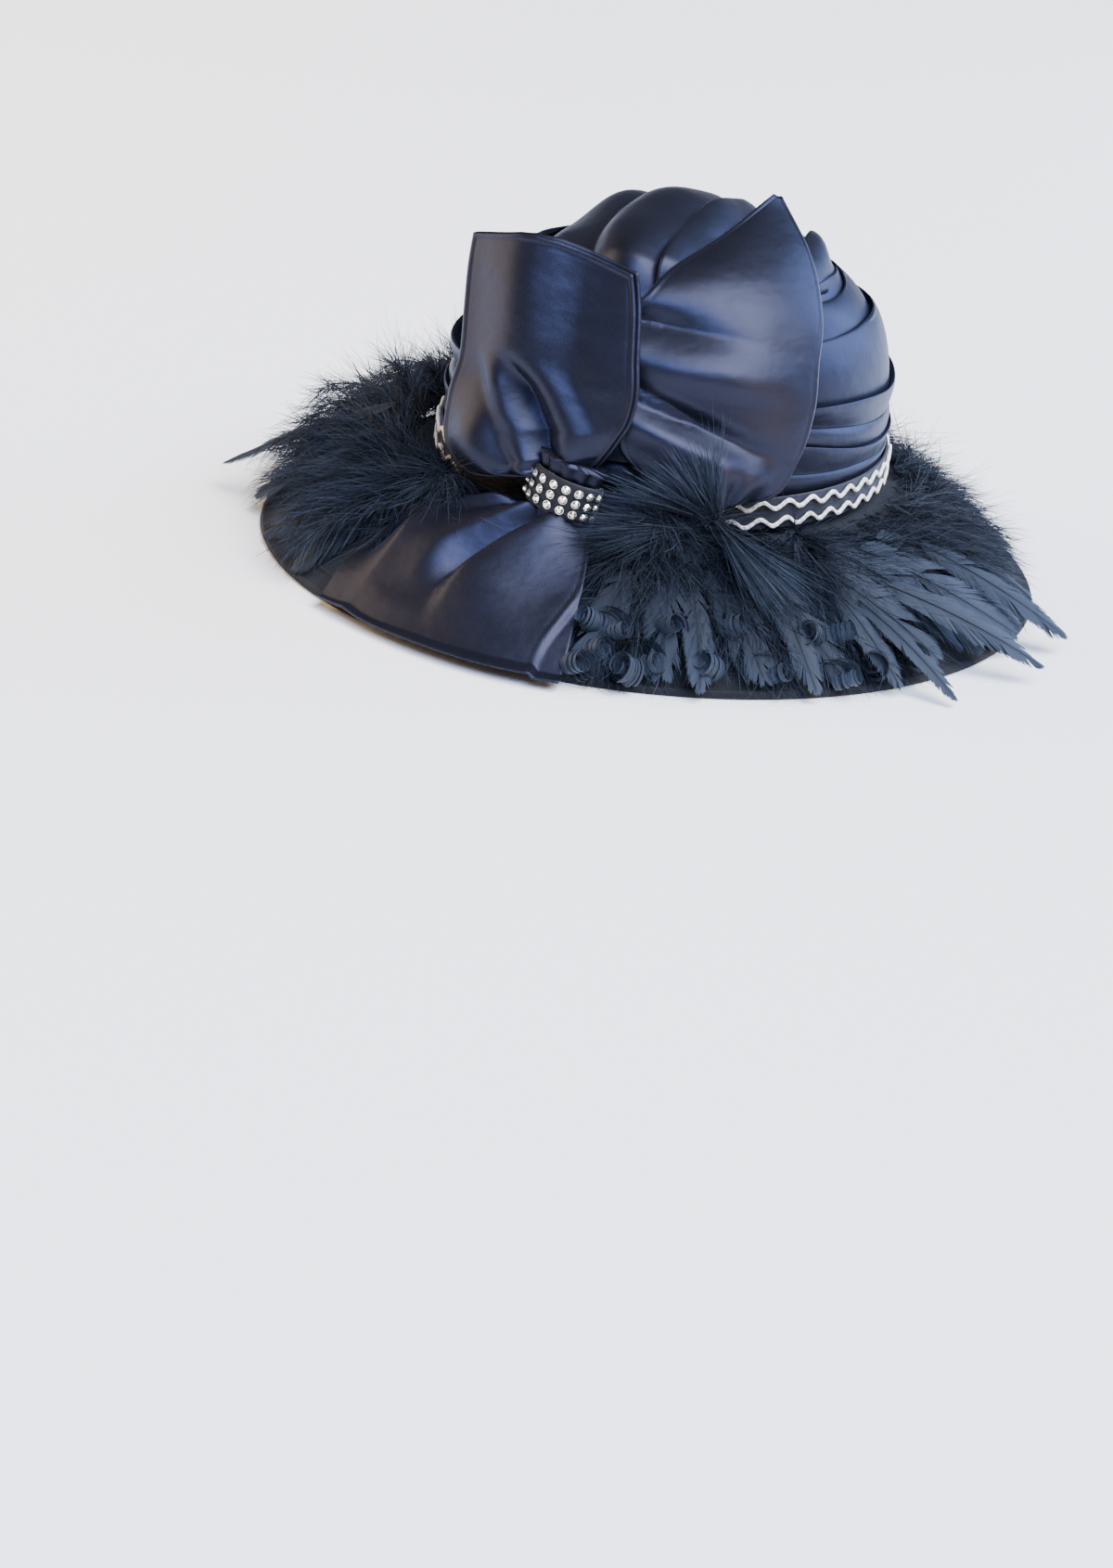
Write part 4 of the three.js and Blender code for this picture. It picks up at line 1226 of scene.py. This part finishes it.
class HAT_OT_vanes(Operator):
    """Lay flat feathers with stems, curled tips and sprays of long strands over the down"""

    bl_idname = "hat.vanes"
    bl_label = "Flat feathers and curls"

    barbs = 90
    spiral_points = 30

    def execute(self, context):
        form = Form(context.scene.hat_sizes)
        random = np.random.default_rng(context.scene.hat_feathers.seed + 50)
        flat = Strands()
        for vane in VANES:
            self.vane(form, flat, vane, random)
        flat.piece(context, form, "flat_feathers")
        curls = Strands()
        for curl in CURLS:
            self.curl(form, curls, curl, random)
        curls.piece(context, form, "curled_tips", clear=0.4)
        sprays = Strands()
        for spray in SPRAYS:
            self.spray(form, sprays, spray, random)
        sprays.piece(context, form, "long_sprays")
        return {"FINISHED"}

    def vane(self, form, strands, vane, random):
        """Barbs in a plane to both sides of a stem, split here and there."""
        root, tip = (
            form.on_brim(np.array(bearing), out, lift) for bearing, out, lift in (vane["root"], vane["tip"])
        )
        knee = (root + tip) / 2 + UP * 5
        t = np.linspace(0.10, 1.0, self.barbs)[:, None]
        start, forward = on_curve(root, knee, tip, t)
        across = unit(np.cross(forward, 0.6 * UP + outward(vane["tip"][0])))
        normal = np.cross(across, forward)
        width = vane["half_width"] * np.sin(np.pi * np.clip(t, 0, 0.985) ** 0.8) ** 0.55
        length = np.linalg.norm(tip - root)
        reach = STRAND[:, None]
        for side in (-1, 1):
            lock = np.cumsum(random.random(self.barbs) < 0.10)
            stray = random.normal(0, 0.14, lock.max() + 1)[lock][:, None]
            angle = mix(0.95, 0.42, t) + stray + random.normal(0, 0.02, (self.barbs, 1))
            direction = forward * np.cos(angle) + across * side * np.sin(angle)
            span = width / np.maximum(np.sin(angle), 0.5) * random.uniform(0.9, 1.04, (self.barbs, 1))
            cup = normal * (random.normal(0, 0.05, lock.max() + 1)[lock][:, None] - 0.12)
            course = direction[:, None] * reach + (0.22 * forward + cup)[:, None] * reach**2
            paths = start[:, None] + span[:, None] * course
            wide = length / self.barbs * 1.25 * np.array([1.0, 1.0, 0.9, 0.25])
            shade = vane["shade"] * random.uniform(0.75, 1.0, (self.barbs, 1))
            flat_side = unit(np.cross(normal, direction))[:, None]
            strands.add(paths, flat_side, wide, 0.35 + 0.65 * t * STRAND**0.5, shade)
        parts = 12
        at = (np.arange(parts)[:, None] + STRAND) / parts
        path, ahead = on_curve(root, knee, tip, at[..., None])
        side = unit(np.cross(ahead, UP))
        strands.add(path + UP * 0.25, side, mix(0.9, 0.15, at), 0.3 + 0 * at, 0.4 * vane["shade"] + 0 * at)

    def curl(self, form, strands, curl, random):
        """A feather's end rolled into a spiral, split into narrow strips."""
        bearing, out, lift, radius, lean = curl
        middle = form.on_brim(np.array(float(bearing)), np.array(out), np.array(lift))
        axle = unit(outward(bearing + lean) + UP * 0.55)
        first = unit(np.cross(UP, axle))
        second = np.cross(axle, first)
        sense = 1 if random.random() < 0.5 else -1
        strips = 9
        t = np.linspace(0, 1, self.spiral_points)
        for strip in range(strips):
            place = (strip - (strips - 1) / 2) * 1.05
            turn = 2 * np.pi * (1.45 + 0.12 * random.normal()) * t + 0.15 * random.normal()
            size = radius * (1.25 - 0.95 * t**0.8) * (1 + 0.05 * random.normal())
            angle = sense * (turn - 2.4)
            path = middle + axle * (place + 0.35 * random.normal()) + (
                first * (size * np.cos(angle))[:, None] + second * (size * np.sin(angle))[:, None]
            )
            tail = unit(-outward(bearing) + first * sense * 0.5)
            path = path + tail * (10 * (1 - np.clip(t / 0.22, 0, 1)) ** 1.6)[:, None]
            widths = 1.25 * np.clip(1.1 - 0.75 * t**3, 0.2, 1) * np.ones((1, self.spiral_points))
            strands.add(path[None], axle, widths, 0.45 + 0.55 * t[None], random.uniform(0.55, 1.1))

    def spray(self, form, strands, spray, random):
        """Long straight strands that fan from one root."""
        count = spray["count"]
        corner = [
            form.at(np.array(float(bearing)), np.array(float(radius)), height)
            for bearing, radius, height in (spray["root"], spray["first"], spray["last"])
        ]
        share = random.random((count, 1))
        aim = mix(corner[1], corner[2], share) - corner[0]
        bulge = np.sin(np.pi * share) * 0.22 * np.linalg.norm(aim, axis=-1, keepdims=True)
        aim = aim + outward(spray["root"][0]) * bulge + random.normal(0, 2.4, (count, 3))
        length = random.uniform(0.55, 1.05, (count, 1))
        bend = random.normal(0, 2.0, (count, 3)) - UP * 3.0 * random.random((count, 1))
        reach = STRAND[:, None]
        start = corner[0] + random.normal(0, 1.0, (count, 3))
        paths = start[:, None] + (aim * length)[:, None] * reach + bend[:, None] * reach**2
        side = unit(np.cross(aim, random.normal(0, 1, (count, 3))))[:, None]
        widths = random.uniform(0.22, 0.42, (count, 1)) * np.array([1.0, 0.95, 0.7, 0.15])
        shade = spray["shade"] * random.uniform(0.5, 1.0, (count, 1))
        strands.add(paths, side, widths, 0.3 + 0.7 * STRAND, shade)


# Stage


class HAT_OT_stage(Operator):
    """Set the floor, the lights and the camera"""

    bl_idname = "hat.stage"
    bl_label = "Stage"

    image = (1200, 1690)
    aim_pixel = (713, 500)
    aim_height = 0.038
    azimuth = 30.0
    elevation = 17.5
    roll = 8.0
    distance = 1.6
    metres_per_pixel = 0.000377

    ambient = (1.0, 0.88, 0.70, 1.0)
    ambient_strength = 0.13
    sun_power = 8.6
    sun_spread = math.radians(50)
    sun_colour = (0.95, 0.97, 1.0)
    sun_bearing = 62
    sun_elevation = math.radians(58)
    lit_height = 0.08

    # Panels stand round the hat: bearing in degrees, the rest in metres and watts.
    panels = table(
        "name bearing height distance size power colour",
        ("fill", -98, 0.70, 1.7, 1.5, 42, (1.0, 0.72, 0.40)),
        ("glow", 62, 0.28, 1.5, 0.8, 7, (1.0, 0.60, 0.30)),
        ("front", 4, 1.5, 1.6, 0.9, 50, (0.42, 0.57, 1.0)),
        ("side", 122, 0.75, 1.6, 1.2, 44, (0.46, 0.61, 1.0)),
    )

    def execute(self, context):
        form = Form(context.scene.hat_sizes)
        self.floor(context)
        self.lights(context)
        self.camera(context, form)
        return {"FINISHED"}

    def floor(self, context):
        made = bmesh.new()
        bmesh.ops.create_grid(made, x_segments=4, y_segments=4, size=7.0)
        bmesh.ops.translate(made, verts=made.verts[:], vec=(0, 0, -0.0002))
        mesh = bpy.data.meshes.new("floor")
        made.to_mesh(mesh)
        made.free()
        mesh.materials.append(finish_for(context, "floor"))
        floor = bpy.data.objects.new("floor", mesh)
        context.scene.collection.objects.link(floor)

    def lights(self, context):
        world = bpy.data.worlds.new("studio")
        world.use_nodes = True
        background = world.node_tree.nodes["Background"]
        background.inputs["Color"].default_value = self.ambient
        background.inputs["Strength"].default_value = self.ambient_strength
        context.scene.world = world
        self.sun(context)
        for panel in self.panels:
            self.panel(context, panel)

    def sun(self, context):
        """One broad soft light from the right, as from a big window."""
        data = bpy.data.lights.new("window", "SUN")
        data.energy = self.sun_power
        data.angle = self.sun_spread
        data.color = self.sun_colour
        light = bpy.data.objects.new("window", data)
        level, rise = math.cos(self.sun_elevation), math.sin(self.sun_elevation)
        way = Vector(outward(self.sun_bearing)) * level + Vector((0, 0, rise))
        light.rotation_euler = way.to_track_quat("Z", "Y").to_euler()
        context.scene.collection.objects.link(light)

    def panel(self, context, panel):
        data = bpy.data.lights.new(panel["name"], "AREA")
        data.energy = panel["power"]
        data.size = panel["size"]
        data.color = panel["colour"]
        light = bpy.data.objects.new(panel["name"], data)
        stand = Vector(outward(panel["bearing"]) * panel["distance"])
        light.location = stand + Vector((0, 0, panel["height"]))
        lit = Vector((0, 0, self.lit_height))
        light.rotation_euler = (light.location - lit).to_track_quat("Z", "Y").to_euler()
        context.scene.collection.objects.link(light)

    def camera(self, context, form):
        focal = self.distance / self.metres_per_pixel
        turn, rise, roll = (math.radians(angle) for angle in (self.azimuth, self.elevation, self.roll))
        aim = Vector(form.axis) + Vector((0, 0, self.aim_height))
        back = Vector((math.sin(turn) * math.cos(rise), -math.cos(turn) * math.cos(rise), math.sin(rise)))
        right = (-back).cross(Vector((0, 0, 1))).normalized()
        up = right.cross(-back)
        leaning_up = up * math.cos(roll) - right * math.sin(roll)
        leaning_right = right * math.cos(roll) + up * math.sin(roll)
        base = Matrix((leaning_right, leaning_up, back)).transposed()
        width, height = self.image
        column, row = self.aim_pixel
        toward = Vector(((column - width / 2) / focal, (height / 2 - row) / focal, -1)).normalized()
        shift = Vector((0, 0, -1)).rotation_difference(toward).to_matrix()
        data = bpy.data.cameras.new("camera")
        data.sensor_width = 36.0
        data.lens = focal * data.sensor_width / max(width, height)
        data.clip_start = 0.05
        camera = bpy.data.objects.new("camera", data)
        stand = Matrix.Translation(aim + back * self.distance)
        camera.matrix_world = stand @ (base @ shift.transposed()).to_4x4()
        context.scene.collection.objects.link(camera)
        context.scene.camera = camera


class HAT_PT_panel(Panel):
    """Lists the hat's sizes and colours and the steps that build it"""

    bl_idname = "HAT_PT_panel"
    bl_label = "Hat"
    bl_space_type = "VIEW_3D"
    bl_region_type = "UI"
    bl_category = "Hat"

    def draw(self, context):
        for group in (context.scene.hat_sizes, context.scene.hat_colours, context.scene.hat_feathers):
            box = self.layout.box()
            for name in group.__annotations__:
                box.prop(group, name)
        for step in STEPS:
            self.layout.operator(step.bl_idname)


STEPS = (
    HAT_OT_felt,
    HAT_OT_drape,
    HAT_OT_trim,
    HAT_OT_bow,
    HAT_OT_stones,
    HAT_OT_plumes,
    HAT_OT_vanes,
    HAT_OT_stage,
)
CLASSES = (HatSizes, HatColours, HatFeathers, *STEPS, HAT_PT_panel)


def register():
    for made in CLASSES:
        bpy.utils.register_class(made)
    bpy.types.Scene.hat_sizes = PointerProperty(type=HatSizes)
    bpy.types.Scene.hat_colours = PointerProperty(type=HatColours)
    bpy.types.Scene.hat_feathers = PointerProperty(type=HatFeathers)


def unregister():
    del bpy.types.Scene.hat_feathers
    del bpy.types.Scene.hat_colours
    del bpy.types.Scene.hat_sizes
    for made in reversed(CLASSES):
        bpy.utils.unregister_class(made)


def main():
    register()
    bpy.ops.hat.felt()
    bpy.ops.hat.drape()
    bpy.ops.hat.trim()
    bpy.ops.hat.bow()
    bpy.ops.hat.stones()
    bpy.ops.hat.plumes()
    bpy.ops.hat.vanes()
    bpy.ops.hat.stage()


if __name__ == "__main__":
    main()
